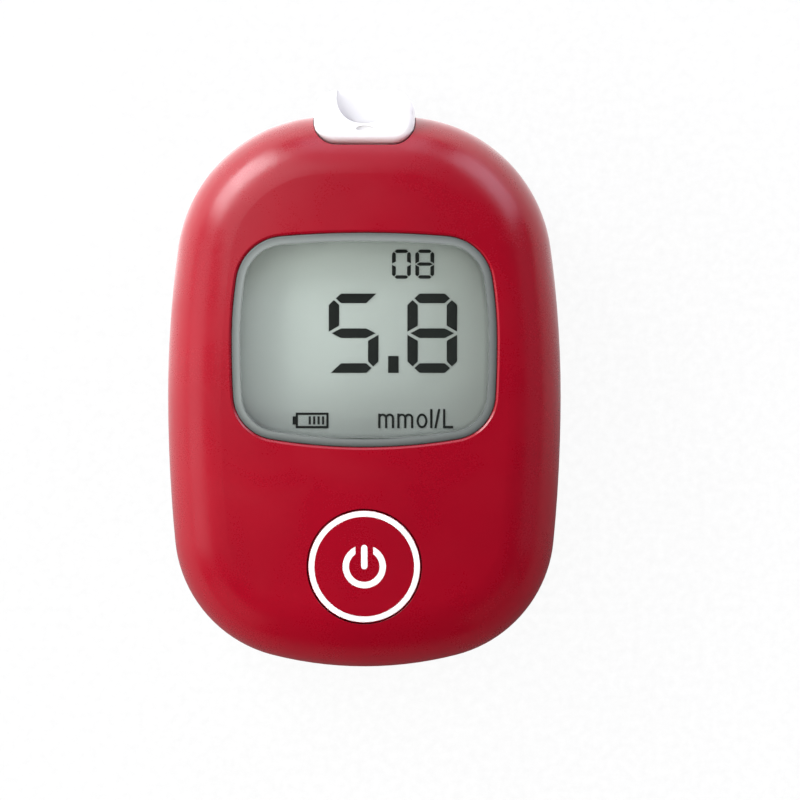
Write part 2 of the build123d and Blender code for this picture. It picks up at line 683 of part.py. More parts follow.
def unit_text():
    """The unit mmol/L, drawn with strokes of one width."""
    for left in UNIT_M[1]:
        letter_m(left)
    width, left = UNIT_O
    with Locations((left + width / 2, UNIT_BASE + UNIT_LOW / 2)):
        Ellipse(width / 2, UNIT_LOW / 2)
        Ellipse(width / 2 - UNIT_STROKE, UNIT_LOW / 2 - UNIT_STROKE, mode=Mode.SUBTRACT)
    corner_rectangle(UNIT_L[1], UNIT_BASE, UNIT_L[0], UNIT_HIGH)
    width, left = UNIT_SLASH
    Polygon(
        (left, UNIT_BASE), (left + UNIT_STROKE, UNIT_BASE),
        (left + width, UNIT_BASE + UNIT_HIGH), (left + width - UNIT_STROKE, UNIT_BASE + UNIT_HIGH),
        align=None,
    )
    width, left = UNIT_LITRE
    corner_rectangle(left, UNIT_BASE, UNIT_STROKE, UNIT_HIGH)
    corner_rectangle(left, UNIT_BASE, width, UNIT_STROKE)


with BuildPart() as lcd_segments:
    with BuildSketch(Plane.XY.offset(LCD_SEGMENTS)):
        for lit, x, y in BIG_PLACES:
            digit(lit, x, y, BIG_DIGIT, BIG_STROKE)
        for lit, x, y in SMALL_PLACES:
            digit(lit, x, y, SMALL_DIGIT, SMALL_STROKE)
        corner_rectangle(*POINT_PLACE, *POINT_SIZE)
        battery_gauge()
        unit_text()
    extrude(amount=SEGMENT_THICKNESS)
place(lcd_segments.part.moved(Location((0, WINDOW_Y, 0))), "lcd_segments")

with BuildPart() as lcd_frame:
    rim = FIT + FRAME_RIM
    span_box(
        (-LCD_WIDTH / 2 - rim, LCD_WIDTH / 2 + rim), (LCD_LOW_Y - rim, LCD_HIGH_Y + rim),
        (BOARD_TOP, LCD_TOP - FRAME_BELOW_LCD),
    )
    fillet(lcd_frame.edges().filter_by(Axis.Z), radius=FRAME_CORNER)
    span_box(
        (-LCD_WIDTH / 2 - FIT, LCD_WIDTH / 2 + FIT), (LCD_LOW_Y - FIT, LCD_HIGH_Y + FIT),
        (LCD_BOTTOM, BODY_HEIGHT), Mode.SUBTRACT,
    )
    span_box(
        (-LCD_WIDTH / 2 + FRAME_SHELF, LCD_WIDTH / 2 - FRAME_SHELF),
        (LCD_LOW_Y, LCD_HIGH_Y - FRAME_SHELF), (0, BODY_HEIGHT), Mode.SUBTRACT,
    )
place(lcd_frame.part, "lcd_frame")

with BuildPart() as zebra_strip:
    span_box(
        (-LCD_WIDTH / 2 + FRAME_SHELF + FIT, LCD_WIDTH / 2 - FRAME_SHELF - FIT),
        (LCD_LOW_Y + FIT, LCD_LOW_Y + FIT + ZEBRA_WIDTH), (BOARD_TOP, LCD_FRONT_PLATE),
    )
place(zebra_strip.part, "zebra_strip")

# ================================================================ button
INLAY_FLOOR = body_form(INLAY_DEPTH)


def inlay(face):
    """Piece let in flush with the casing's surface, with the plan shape of face."""
    with BuildPart() as piece:
        with BuildSketch(Plane.XY.offset(SEAM)):
            add(face)
        extrude(amount=BODY_HEIGHT)
        add(OUTER, mode=Mode.INTERSECT)
        add(INLAY_FLOOR, mode=Mode.SUBTRACT)
    return piece.part


with BuildSketch() as ring_plan:
    with Locations(BUTTON_SPOT):
        Circle(RING_DIAMETER / 2)
        Circle(RING_DIAMETER / 2 - RING_STROKE, mode=Mode.SUBTRACT)

with BuildSketch() as symbol_plan:
    with Locations(BUTTON_SPOT):
        Circle(SYMBOL_DIAMETER / 2)
        Circle(SYMBOL_DIAMETER / 2 - SYMBOL_STROKE, mode=Mode.SUBTRACT)
        Rectangle(
            SYMBOL_OPENING, SYMBOL_DIAMETER, align=(Align.CENTER, Align.MIN), mode=Mode.SUBTRACT
        )
    with Locations((0, BUTTON_Y + SYMBOL_DIAMETER / 2 - SYMBOL_BAR / 2)):
        SlotOverall(SYMBOL_BAR, SYMBOL_STROKE, rotation=90)

button_ring = inlay(ring_plan.sketch)
button_symbol = inlay(symbol_plan.sketch)
place(button_ring, "button_ring")
place(button_symbol, "button_symbol")

with BuildPart() as cap_hollow:
    hollow = BUTTON_DIAMETER - 2 * BUTTON_SKIRT
    disc(BUTTON_SPOT, hollow, (FLANGE_BOTTOM, BODY_HEIGHT))
    add(body_form(BUTTON_SKIN), mode=Mode.INTERSECT)
    disc(BUTTON_SPOT, STEM_DIAMETER, (DOME_TOP, BODY_HEIGHT), Mode.SUBTRACT)

with BuildPart() as button_cap:
    disc(BUTTON_SPOT, BUTTON_DIAMETER, (FLANGE_BOTTOM, BODY_HEIGHT))
    add(OUTER, mode=Mode.INTERSECT)
    disc(BUTTON_SPOT, BUTTON_DIAMETER + 2 * BUTTON_FLANGE, (FLANGE_BOTTOM, FLANGE_TOP))
    add(cap_hollow.part, mode=Mode.SUBTRACT)
    add(button_ring, mode=Mode.SUBTRACT)
    add(button_symbol, mode=Mode.SUBTRACT)
place(button_cap.part, "button_cap")

with BuildPart() as button_dome:
    with BuildSketch(Plane((0, BUTTON_Y, 0), x_dir=(1, 0, 0), z_dir=(0, -1, 0))):
        Polygon(
            (DOME_DIAMETER / 2, BOARD_TOP), (DOME_DIAMETER / 2, BOARD_TOP + DOME_SKIN),
            (DOME_WAIST / 2, BOARD_TOP + DOME_SKIN), (DOME_TOP_DIAMETER / 2, DOME_TOP),
            (0, DOME_TOP), (0, DOME_TOP - DOME_SKIN), (DOME_INNER_TOP / 2, DOME_TOP - DOME_SKIN),
            (DOME_INNER_BASE / 2, BOARD_TOP),
            align=None,
        )
    revolve(axis=Axis((0, BUTTON_Y, 0), (0, 0, 1)))
place(button_dome.part, "button_dome")

with BuildPart() as carbon_pill:
    pill_top = DOME_TOP - DOME_SKIN
    disc(BUTTON_SPOT, PILL_DIAMETER, (pill_top - PILL_THICKNESS, pill_top))
place(carbon_pill.part, "carbon_pill")

# ================================================================ rear shell
BED_Y = CAP_Y + SLIDE  # where the casing's bed for the door ends
CAP_SPACE = CAP_HEIGHT + SLIDE
DOOR_FREE = DOOR_THICKNESS + SLIDE
FAR_Y = BODY_BOTTOM - WALL  # beyond the casing's lower end

with BuildPart() as rear_features:
    span_box(
        (-CHANNEL_INNER, CHANNEL_INNER), (BAY_LOW_Y - BAY_WALL, BAY_HIGH_Y + BAY_WALL),
        (DOOR_FREE, BAY_CEILING + BAY_ROOF),
    )
    span_box((-RAIL_SIDE, RAIL_SIDE), (BED_Y, DOOR_HIGH_Y + RAIL_WALL), (DOOR_FREE, RAIL_HIGH))
    span_box((-RAIL_SIDE, RAIL_SIDE), (BED_Y, BED_Y + RAIL_WALL), (RAIL_HIGH, CAP_SPACE + RAIL_WALL))
    span_box((-RAIL_SIDE, RAIL_SIDE), (FAR_Y, BED_Y + RAIL_WALL), (CAP_SPACE, CAP_SPACE + RAIL_WALL))
    span_box(
        (-CHANNEL_INNER, CHANNEL_INNER), (BED_Y + RAIL_WALL, BAY_LOW_Y - BAY_WALL),
        (DOOR_FREE + RAIL_WALL, BAY_CEILING), Mode.SUBTRACT,
    )
    for spot in CASE_SCREWS:
        disc(spot, REAR_BOSS, (0, BOSS_MEET - FIT))
    for spot in BOARD_SCREWS:
        disc(spot, BOARD_POST, (0, BOARD_BOTTOM))
    disc(BUZZER_SPOT, BUZZER_DIAMETER, (0, WALL + RAIL_WALL))
    disc(BUZZER_SPOT, BUZZER_DIAMETER - 2 * RAIL_WALL, (WALL, BODY_HEIGHT), Mode.SUBTRACT)
    add(MIDDLE, mode=Mode.INTERSECT)

with BuildPart() as rear_shell:
    add(OUTER)
    add(CAVITY, mode=Mode.SUBTRACT)
    split(bisect_by=Plane.XY.offset(SEAM), keep=Keep.BOTTOM)
    with BuildSketch(Plane.XY.offset(SEAM)):
        add(casing_outline(WALL - LIP_THICKNESS))
        add(casing_outline(WALL), mode=Mode.SUBTRACT)
    extrude(amount=LIP_HEIGHT)
    add(rear_features.part)
    add(notch_space.part, mode=Mode.SUBTRACT)
    # battery bay, and the slots for the contacts' tabs in its roof
    span_box((-BAY_SIDE, BAY_SIDE), (BAY_LOW_Y, BAY_HIGH_Y), (0, BAY_CEILING), Mode.SUBTRACT)
    for x, y in ((-CELL_X, BAY_HIGH_Y), (CELL_X, BAY_HIGH_Y), (0, BAY_LOW_Y)):
        slot = PLATE_THICKNESS + 2 * FIT
        start = y if y == BAY_LOW_Y else y - slot
        half_tab = TAB_WIDTH / 2 + FIT
        span_box((x - half_tab, x + half_tab), (start, start + slot), (0, BODY_HEIGHT), Mode.SUBTRACT)
    # space for the door, its webs and its tongues
    span_box(
        (-DOOR_SIDE - SLIDE, DOOR_SIDE + SLIDE), (FAR_Y, DOOR_HIGH_Y + SLIDE), (0, DOOR_FREE),
        Mode.SUBTRACT,
    )
    side_boxes(
        (CHANNEL_INNER, DOOR_SIDE + SLIDE), (FAR_Y, DOOR_HIGH_Y), (0, CHANNEL_HIGH), Mode.SUBTRACT
    )
    side_boxes(
        (CHANNEL_INNER, CHANNEL_OUTER), (FAR_Y, DOOR_HIGH_Y), (TONGUE_LOW - SLIDE, CHANNEL_HIGH),
        Mode.SUBTRACT,
    )
    span_box((-CHANNEL_OUTER, CHANNEL_OUTER), (FAR_Y, BED_Y), (0, CAP_SPACE), Mode.SUBTRACT)
    for spot in CASE_SCREWS:
        disc(spot, CASE_SCREW_HEAD + 2 * SCREW_CLEARANCE, (0, CASE_SCREW_SEAT), Mode.SUBTRACT)
        disc(spot, CASE_SCREW + 2 * SCREW_CLEARANCE, (0, BOSS_MEET), Mode.SUBTRACT)
    for spot in BOARD_SCREWS:
        hole_low = BOARD_TOP - BOARD_SCREW_LENGTH - HOLE_SPARE
        disc(spot, BOARD_SCREW + 2 * SCREW_CLEARANCE, (hole_low, BOARD_BOTTOM), Mode.SUBTRACT)
    with BuildSketch():
        with Locations(BUZZER_SPOT):
            Circle(SOUND_HOLE / 2)
            with PolarLocations(SOUND_CIRCLE, SOUND_COUNT):
                Circle(SOUND_HOLE / 2)
    extrude(amount=2 * WALL, mode=Mode.SUBTRACT)
place(rear_shell.part, "rear_shell")

# ================================================================ battery door
DOOR_OUTER = body_form(DOOR_RECESS)

with BuildPart() as door_cap:
    side = TONGUE_SIDE
    span_box((-side, side), (FAR_Y, CAP_Y), (0, CAP_HEIGHT))
    add(body_form(DOOR_RECESS + DOOR_THICKNESS), mode=Mode.SUBTRACT)

with BuildPart() as battery_door:
    span_box((-DOOR_SIDE, DOOR_SIDE), (CAP_Y, DOOR_HIGH_Y), (0, DOOR_THICKNESS))
    add(door_cap.part)
    side_boxes((WEB_OUTER - TONGUE_WEB, WEB_OUTER), (CAP_Y, DOOR_HIGH_Y - SLIDE), (0, TONGUE_HIGH))
    side_boxes((WEB_OUTER, TONGUE_SIDE), (CAP_Y, DOOR_HIGH_Y - SLIDE), (TONGUE_LOW, TONGUE_HIGH))
    add(DOOR_OUTER, mode=Mode.INTERSECT)
    span_box(
        (-LABEL_SIZE[0] / 2 - FIT, LABEL_SIZE[0] / 2 + FIT),
        (LABEL_Y - LABEL_SIZE[1] / 2 - FIT, LABEL_Y + LABEL_SIZE[1] / 2 + FIT),
        (0, DOOR_RECESS + LABEL_POCKET), Mode.SUBTRACT,
    )
    for row in range(GRIP_COUNT):
        with Locations((0, CAP_Y + GRIP_FROM_CAP + row * GRIP_PITCH, DOOR_RECESS)):
            Box(GRIP_WIDTH, GRIP_GROOVE, 2 * GRIP_DEPTH, mode=Mode.SUBTRACT)
place(battery_door.part, "battery_door")

with BuildPart() as rating_label:
    span_box(
        (-LABEL_SIZE[0] / 2, LABEL_SIZE[0] / 2),
        (LABEL_Y - LABEL_SIZE[1] / 2, LABEL_Y + LABEL_SIZE[1] / 2),
        (DOOR_RECESS + LABEL_POCKET - LABEL_THICKNESS, DOOR_RECESS + LABEL_POCKET),
    )
place(rating_label.part, "rating_label")


# ================================================================ batteries and contacts
def battery(x, low_y, nub_up):
    """Cell lying along Y from low_y, its nub towards +Y or -Y."""
    length = CELL_LENGTH - CELL_NUB
    body_low = low_y if nub_up else low_y + CELL_NUB
    with BuildPart() as cell:
        with Locations(Location((x, body_low + length / 2, CELL_Z), (90, 0, 0))):
            Cylinder(CELL_DIAMETER / 2, length)
        fillet(cell.edges().filter_by(GeomType.CIRCLE), CELL_EDGE)
        with Locations(Location((x, low_y + CELL_LENGTH / 2, CELL_Z), (90, 0, 0))):
            Cylinder(CELL_NUB_DIAMETER / 2, CELL_LENGTH)
        tail = (body_low - CELL_NUB, body_low) if nub_up else (body_low + length, low_y + 2 * CELL_LENGTH)
        span_box((x - CELL_X, x + CELL_X), tail, (0, BAY_CEILING), Mode.SUBTRACT)
    return cell.part


def battery_spring(x, low_y):
    """Coil spring along Y from low_y."""
    height = SPRING_LENGTH - SPRING_WIRE - 2 * FIT
    with BuildPart() as spring:
        with BuildLine() as coil:
            Helix(
                pitch=height / SPRING_TURNS, height=height, radius=(SPRING_DIAMETER - SPRING_WIRE) / 2,
                center=(x, low_y + FIT + SPRING_WIRE / 2, CELL_Z), direction=(0, 1, 0),
            )
        with BuildSketch(Plane(coil.line @ 0, z_dir=coil.line % 0)):
            Circle(SPRING_WIRE / 2)
        sweep()
    return spring.part


place(battery(-CELL_X, PLATE_HIGH_Y - CELL_LENGTH, True), "battery_left")
place(battery(CELL_X, PLATE_LOW_Y, False), "battery_right")

with BuildPart() as battery_springs:
    add(battery_spring(-CELL_X, PLATE_LOW_Y))
    add(battery_spring(CELL_X, PLATE_HIGH_Y - SPRING_LENGTH))
place(battery_springs.part, "battery_springs")

with BuildPart() as battery_contacts:
    y = (PLATE_HIGH_Y, PLATE_HIGH_Y + PLATE_THICKNESS)
    for x in (-CELL_X, CELL_X):
        span_box((x - PLATE_WIDTH / 2, x + PLATE_WIDTH / 2), y, (PLATE_LOW, PLATE_HIGH))
        span_box((x - TAB_WIDTH / 2, x + TAB_WIDTH / 2), y, (PLATE_HIGH, BOARD_BOTTOM))
place(battery_contacts.part, "battery_contacts")

with BuildPart() as battery_link:
    y = (PLATE_LOW_Y - PLATE_THICKNESS, PLATE_LOW_Y)
    span_box((-CELL_X - PLATE_WIDTH / 2, CELL_X + PLATE_WIDTH / 2), y, (PLATE_LOW, PLATE_HIGH))
    span_box((-TAB_WIDTH / 2, TAB_WIDTH / 2), y, (PLATE_HIGH, BOARD_BOTTOM))
place(battery_link.part, "battery_link")

# ================================================================ board
with BuildPart() as main_board:
    with BuildSketch(Plane.XY.offset(BOARD_BOTTOM)):
        add(casing_outline(BOARD_INSET))
        with Locations((0, PORT_BACK - FIT)):
            Rectangle(
                2 * (PORT_SIDE + SLIDE), BODY_LENGTH,
                align=(Align.CENTER, Align.MIN), mode=Mode.SUBTRACT,
            )
        with Locations(*CASE_SCREWS):
            Circle(FRONT_BOSS / 2 + SLIDE, mode=Mode.SUBTRACT)
        with Locations(*BOARD_SCREWS):
            Circle(BOARD_SCREW / 2 + SCREW_CLEARANCE, mode=Mode.SUBTRACT)
    extrude(amount=BOARD_THICKNESS)
place(main_board.part, "main_board")


def chip(spot, size):
    """Block of the given size standing on the board."""
    with Locations((spot[0], spot[1], BOARD_TOP + size[2] / 2)):
        Box(*size)


for name, spot, size in (
    ("processor", PROCESSOR_SPOT, PROCESSOR_SIZE),
    ("amplifier", AMPLIFIER_SPOT, AMPLIFIER_SIZE),
    ("crystal", CRYSTAL_SPOT, CRYSTAL_SIZE),
):
    with BuildPart() as package:
        chip(spot, size)
    place(package.part, name)

with BuildPart() as small_components:
    for spot in PASSIVE_SPOTS:
        chip(spot, PASSIVE_SIZE)
place(small_components.part, "small_components")

with BuildPart() as buzzer:
    disc(BUZZER_SPOT, BUZZER_DIAMETER, (BOARD_BOTTOM - BUZZER_HEIGHT, BOARD_BOTTOM))
    low = BOARD_BOTTOM - BUZZER_HEIGHT
    disc(BUZZER_SPOT, BUZZER_PORT, (low, low + BUZZER_HEIGHT / 2), Mode.SUBTRACT)
place(buzzer.part, "buzzer")

# ================================================================ strip port and connector
with BuildPart() as port_flange:
    span_box(
        (-PORT_SIDE, PORT_SIDE), (PORT_BACK, BODY_TOP),
        (NOTCH_FLOOR + FIT, STRIP_CEILING + PORT_ROOF),
    )
    add(FREE, mode=Mode.INTERSECT)

def nose_height(y):
    """Height of the strip port's upper face at y."""
    share = (PORT_TIP - y) / (PORT_TIP - NOTCH_Y)
    rise = PORT_BACK_ABOVE_STRIP - PORT_TIP_ABOVE_STRIP
    return STRIP_CEILING + PORT_TIP_ABOVE_STRIP + rise * share


with BuildPart() as strip_port:
    nose_length = PORT_TIP - NOTCH_Y - FIT
    with BuildSketch(Plane.XY.offset(NOTCH_FLOOR)):
        with Locations((0, PORT_TIP - nose_length / 2)):
            RectangleRounded(NOTCH_WIDTH - 2 * FIT, nose_length, NOTCH_CORNER - FIT)
    extrude(amount=BODY_HEIGHT - NOTCH_FLOOR)
    with BuildSketch(Plane.YZ):
        Polygon(
            (NOTCH_Y, NOTCH_FLOOR + FIT), (BODY_TOP, NOTCH_FLOOR + FIT),
            (PORT_TIP, NOTCH_FLOOR + PORT_CHIN), (PORT_TIP, nose_height(PORT_TIP)),
            (NOTCH_Y, nose_height(NOTCH_Y)),
            align=None,
        )
    extrude(amount=NOTCH_WIDTH, both=True, mode=Mode.INTERSECT)
    nose_top = strip_port.faces().sort_by(Axis.Z)[-1]
    fillet(nose_top.edges(), PORT_ROUND)
    add(port_flange.part)
    with BuildSketch(Plane.XY.offset(STRIP_FLOOR)):
        mouth_length = 2 * MOUTH_FROM_TIP
        with Locations((0, PORT_TIP - MOUTH_FROM_TIP + mouth_length / 2)):
            RectangleRounded(MOUTH_WIDTH, mouth_length, MOUTH_CORNER)
    extrude(amount=BODY_HEIGHT, mode=Mode.SUBTRACT)
    span_box(
        (-HALF_STRIP, HALF_STRIP), (PORT_BACK, PORT_TIP), (STRIP_FLOOR, STRIP_CEILING),
        Mode.SUBTRACT,
    )
    with BuildSketch(Plane.XY.offset(BODY_HEIGHT)):
        with Locations((0, PORT_TIP - MARK_FROM_TIP)):
            Ellipse(MARK_SIZE[0] / 2, MARK_SIZE[1] / 2)
    mark_floor = nose_height(PORT_TIP - MARK_FROM_TIP) - MARK_DEPTH
    extrude(amount=mark_floor - BODY_HEIGHT, mode=Mode.SUBTRACT)
place(strip_port.part, "strip_port")

with BuildPart() as strip_connector:
    span_box(
        (-CONNECTOR_WIDTH / 2, CONNECTOR_WIDTH / 2), (CONNECTOR_BACK, CONNECTOR_FRONT),
        (BOARD_TOP, BOARD_TOP + CONNECTOR_HEIGHT),
    )
    chamfer(strip_connector.faces().sort_by(Axis.Z)[-1].edges(), CONNECTOR_BEVEL)
    span_box(
        (-HALF_STRIP, HALF_STRIP), (CONNECTOR_BACK, CONNECTOR_FRONT), (STRIP_FLOOR, STRIP_CEILING),
        Mode.SUBTRACT,
    )
place(strip_connector.part, "strip_connector")

with BuildPart() as strip_contacts:
    half_sheet = CONTACT_SHEET / 2
    foot_y = CONNECTOR_BACK - CONTACT_FOOT
    rise_y = CONNECTOR_BACK - CONTACT_FOOT / 2
    beam_z = STRIP_CEILING - CONTACT_SHEET
    for index in range(CONTACT_COUNT):
        x = (index - (CONTACT_COUNT - 1) / 2) * CONTACT_PITCH
        with BuildSketch(Plane.YZ.offset(x)):
            with BuildLine():
                Polyline(
                    (foot_y, BOARD_TOP + half_sheet), (rise_y, BOARD_TOP + half_sheet),
                    (rise_y, beam_z), (CONNECTOR_BACK + CONTACT_SHEET, beam_z),
                    (CONNECTOR_BACK + CONTACT_DIP, STRIP_FLOOR + CONTACT_SHEET),
                    (CONNECTOR_BACK + CONTACT_END, beam_z),
                )
            trace(line_width=CONTACT_SHEET)
        extrude(amount=CONTACT_WIDTH / 2, both=True)
place(strip_contacts.part, "strip_contacts")


# ================================================================ screws
def screw(spot, seat, head, shank, up):
    """Cross-head screw with its head's flat side at height seat; its shank runs up or down."""
    (head_diameter, head_height), (shank_diameter, shank_length) = head, shank
    face = seat - head_height if up else seat + head_height
    tip = seat + shank_length if up else seat - shank_length
    disc(spot, head_diameter, sorted((face, seat)))
    disc(spot, shank_diameter, sorted((seat, tip)))
    with Locations((*spot, face)):
        length = head_diameter * SCREW_DRIVE_LENGTH
        Box(length, SCREW_DRIVE, 2 * SCREW_DRIVE_DEPTH, mode=Mode.SUBTRACT)
        Box(SCREW_DRIVE, length, 2 * SCREW_DRIVE_DEPTH, mode=Mode.SUBTRACT)


with BuildPart() as case_screws:
    for spot in CASE_SCREWS:
        screw(
            spot, CASE_SCREW_SEAT, (CASE_SCREW_HEAD, CASE_SCREW_HEAD_HEIGHT),
            (CASE_SCREW, CASE_SCREW_LENGTH), True,
        )
place(case_screws.part, "case_screws")

with BuildPart() as board_screws:
    for spot in BOARD_SCREWS:
        screw(
            spot, BOARD_TOP, (BOARD_SCREW_HEAD, BOARD_SCREW_HEAD_HEIGHT),
            (BOARD_SCREW, BOARD_SCREW_LENGTH), False,
        )
place(board_screws.part, "board_screws")
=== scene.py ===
import math

import bmesh
import bpy
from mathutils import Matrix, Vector


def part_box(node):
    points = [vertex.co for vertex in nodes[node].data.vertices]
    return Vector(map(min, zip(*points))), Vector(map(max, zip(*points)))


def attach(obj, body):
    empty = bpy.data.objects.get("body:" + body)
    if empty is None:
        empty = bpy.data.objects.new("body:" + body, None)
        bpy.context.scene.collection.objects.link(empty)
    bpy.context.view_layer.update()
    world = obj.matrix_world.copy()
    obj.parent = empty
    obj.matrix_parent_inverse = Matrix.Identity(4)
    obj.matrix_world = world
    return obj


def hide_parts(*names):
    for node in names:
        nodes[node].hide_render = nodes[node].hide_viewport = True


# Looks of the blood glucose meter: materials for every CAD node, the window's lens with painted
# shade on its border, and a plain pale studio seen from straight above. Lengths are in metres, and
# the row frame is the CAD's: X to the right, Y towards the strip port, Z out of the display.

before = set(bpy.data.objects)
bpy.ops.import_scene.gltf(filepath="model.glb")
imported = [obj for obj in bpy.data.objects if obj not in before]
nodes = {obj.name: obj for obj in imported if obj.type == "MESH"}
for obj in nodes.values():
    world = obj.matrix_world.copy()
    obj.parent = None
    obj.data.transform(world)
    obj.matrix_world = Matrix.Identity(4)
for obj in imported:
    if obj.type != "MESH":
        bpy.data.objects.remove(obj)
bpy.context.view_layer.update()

MM = 0.001


# ================================================================ node graphs
class Graph:
    """The node tree of one material, with its patterns laid out in millimetres of the row frame."""

    def __init__(self, name):
        self.material = bpy.data.materials.new(name)
        self.material.use_nodes = True
        self.tree = self.material.node_tree
        self.tree.nodes.clear()
        coordinates = self.tree.nodes.new("ShaderNodeTexCoord")
        self.place = coordinates.outputs["Object"]
        self.normal = coordinates.outputs["Normal"]

    def add(self, kind, sockets=None, **settings):
        node = self.tree.nodes.new(kind)
        for name, value in settings.items():
            setattr(node, name, value)
        for name, value in (sockets or {}).items():
            self.put(node.inputs[name], value)
        return node

    def put(self, socket, value):
        if isinstance(value, bpy.types.NodeSocket):
            self.tree.links.new(value, socket)
        elif socket.type == "RGBA" and len(value) == 3:
            socket.default_value = (*value, 1.0)
        else:
            socket.default_value = value

    def stretched(self, scale):
        """The place with each axis scaled, so that a pattern runs long where its scale is low."""
        return self.add("ShaderNodeMapping", {"Vector": self.place, "Scale": scale}).outputs[0]

    def noise(self, size, detail=3.0, place=None, distortion=0.0):
        """Soft noise with features of about size millimetres, around 0.5."""
        return self.add("ShaderNodeTexNoise", {
            "Vector": place or self.place, "Scale": 1 / (size * MM), "Detail": detail,
            "Distortion": distortion,
        }).outputs["Fac"]

    def cells(self, size, random=1.0):
        """Distance to the nearest of many points about size millimetres apart."""
        return self.add("ShaderNodeTexVoronoi", {
            "Vector": self.place, "Scale": 1 / (size * MM), "Randomness": random,
        }).outputs["Distance"]

    def remap(self, value, low, high, to_low=0.0, to_high=1.0):
        """The value with low to high laid over to_low to to_high, and held at its ends."""
        return self.add("ShaderNodeMapRange", {
            "Value": value, "From Min": low, "From Max": high, "To Min": to_low, "To Max": to_high,
        }).outputs["Result"]

    def math(self, operation, a, b=None, c=None):
        node = self.add("ShaderNodeMath", operation=operation)
        for socket, value in zip(node.inputs, (a, b, c)):
            if value is not None:
                self.put(socket, value)
        return node.outputs[0]

    def times(self, a, b):
        return self.math("MULTIPLY", a, b)

    def inverse(self, share):
        """1 where share is 0, and 0 where it is 1."""
        return self.math("SUBTRACT", 1.0, share)

    def mix(self, share, a, b):
        """Colour a with b over it by share."""
        node = self.add("ShaderNodeMix", data_type="RGBA")
        self.put(node.inputs["Factor"], share)
        self.put(node.inputs[6], a)
        self.put(node.inputs[7], b)
        return node.outputs[2]

    def parts(self, vector=None):
        """The three parts of a place or a direction."""
        return self.add("ShaderNodeSeparateXYZ", {"Vector": vector or self.place}).outputs

    def bump(self, height, depth, normal=None):
        """Relief of depth millimetres between height 0 and 1."""
        sockets = {"Height": height, "Distance": depth * MM, "Strength": 1.0}
        if normal is not None:
            sockets["Normal"] = normal
        return self.add("ShaderNodeBump", sockets).outputs[0]

    def soft_edge(self, radius):
        """Normal with the sharp edges of moulded or stamped pieces rounded by radius millimetres."""
        return self.add("ShaderNodeBevel", {"Radius": radius * MM}, samples=6).outputs[0]

    def edges(self, radius):
        """About 1 within radius millimetres of a sharp edge, and 0 elsewhere."""
        rounded = self.soft_edge(radius)
        true = self.add("ShaderNodeNewGeometry").outputs["Normal"]
        dot = self.add("ShaderNodeVectorMath", {0: rounded, 1: true}, operation="DOT_PRODUCT")
        turned = self.inverse(dot.outputs["Value"])
        return self.remap(turned, 0.02, 0.25)

    def scratches(self, length, width, turn, share=0.03):
        """Thin hairlines in one direction, 1 on a line and 0 between."""
        laid = self.add("ShaderNodeMapping", {
            "Vector": self.place, "Rotation": (0.0, 0.0, math.radians(turn)),
            "Scale": (width / length, 1.0, 1.0),
        }).outputs[0]
        lines = self.noise(width, detail=1.0, place=laid)
        rare = 0.5 - share
        return self.remap(lines, 0.5 + rare * 0.5, 0.5 + rare * 0.6)

    def finish(self, **sockets):
        """Ends in a Principled shader with these sockets, named with _ for each space."""
        shader = self.add("ShaderNodeBsdfPrincipled")
        for name, value in sockets.items():
            self.put(shader.inputs[name.replace("_", " ")], value)
        return self.close(shader.outputs[0])

    def close(self, shader):
        """Ends in this shader."""
        self.add("ShaderNodeOutputMaterial", {"Surface": shader})
        return self.material


PLASTIC_IOR = 1.49


def moulded(name, colour, deeper, rough, grain=0.5, edge=0.12, worn=None, wear=0.2):
    """Injection-moulded plastic: drifting pigment, faint flow and smudges, a fine spark-eroded
    grain, hairline scratches, and edges that are softened and rubbed to the worn colour."""
    g = Graph(name)
    drift = g.noise(17.0, detail=2.0)
    speckle = g.noise(0.35, detail=2.0)
    base = g.mix(g.remap(drift, 0.3, 0.7), colour, deeper)
    base = g.mix(g.remap(speckle, 0.35, 0.75, 0.0, 0.16), base, deeper)
    hair = g.math("MAXIMUM", g.scratches(14.0, 0.09, 24.0), g.scratches(10.0, 0.07, -58.0))
    hair = g.times(hair, g.remap(g.noise(8.0), 0.52, 0.66))
    rubbed = g.times(g.edges(edge * 1.6), g.remap(g.noise(1.7), 0.4, 0.65))
    worn = worn or tuple(min(1.0, c * 1.25 + 0.03) for c in colour)
    base = g.mix(g.times(hair, wear * 0.5), base, worn)
    base = g.mix(g.times(rubbed, wear), base, worn)
    smudge = g.remap(g.noise(11.0, detail=4.0, distortion=0.6), 0.35, 0.7, rough - 0.05, rough + 0.06)
    fine = g.remap(g.noise(0.22, detail=1.0), 0.3, 0.7, -0.02, 0.02)
    roughness = g.math("ADD", smudge, fine)
    roughness = g.math("ADD", roughness, g.times(hair, 0.12))
    normal = g.bump(g.noise(1.6, detail=1.0), 0.004 * grain, g.soft_edge(edge))
    normal = g.bump(g.noise(0.14, detail=2.0), 0.0022 * grain, normal)
    normal = g.bump(g.inverse(hair), 0.0012, normal)
    return g.finish(Base_Color=base, Roughness=roughness, Normal=normal, IOR=PLASTIC_IOR)


def metal(name, colour, tarnish, rough, brushed=(1.0, 1.0, 0.08), size=0.25):
    """Plated or stamped metal: brushed one way, with tarnish in patches and rounded edges."""
    g = Graph(name)
    brush = g.noise(size, detail=4.0, place=g.stretched(brushed))
    stain = g.remap(g.noise(2.3, detail=4.0), 0.42, 0.7)
    base = g.mix(g.times(stain, 0.5), colour, tarnish)
    base = g.mix(g.remap(brush, 0.3, 0.7, 0.0, 0.25), base, tarnish)
    roughness = g.remap(brush, 0.3, 0.7, rough - 0.07, rough + 0.09)
    roughness = g.math("ADD", roughness, g.times(stain, 0.12))
    normal = g.bump(brush, 0.002, g.soft_edge(0.05))
    return g.finish(Base_Color=base, Metallic=1.0, Roughness=roughness, Normal=normal)


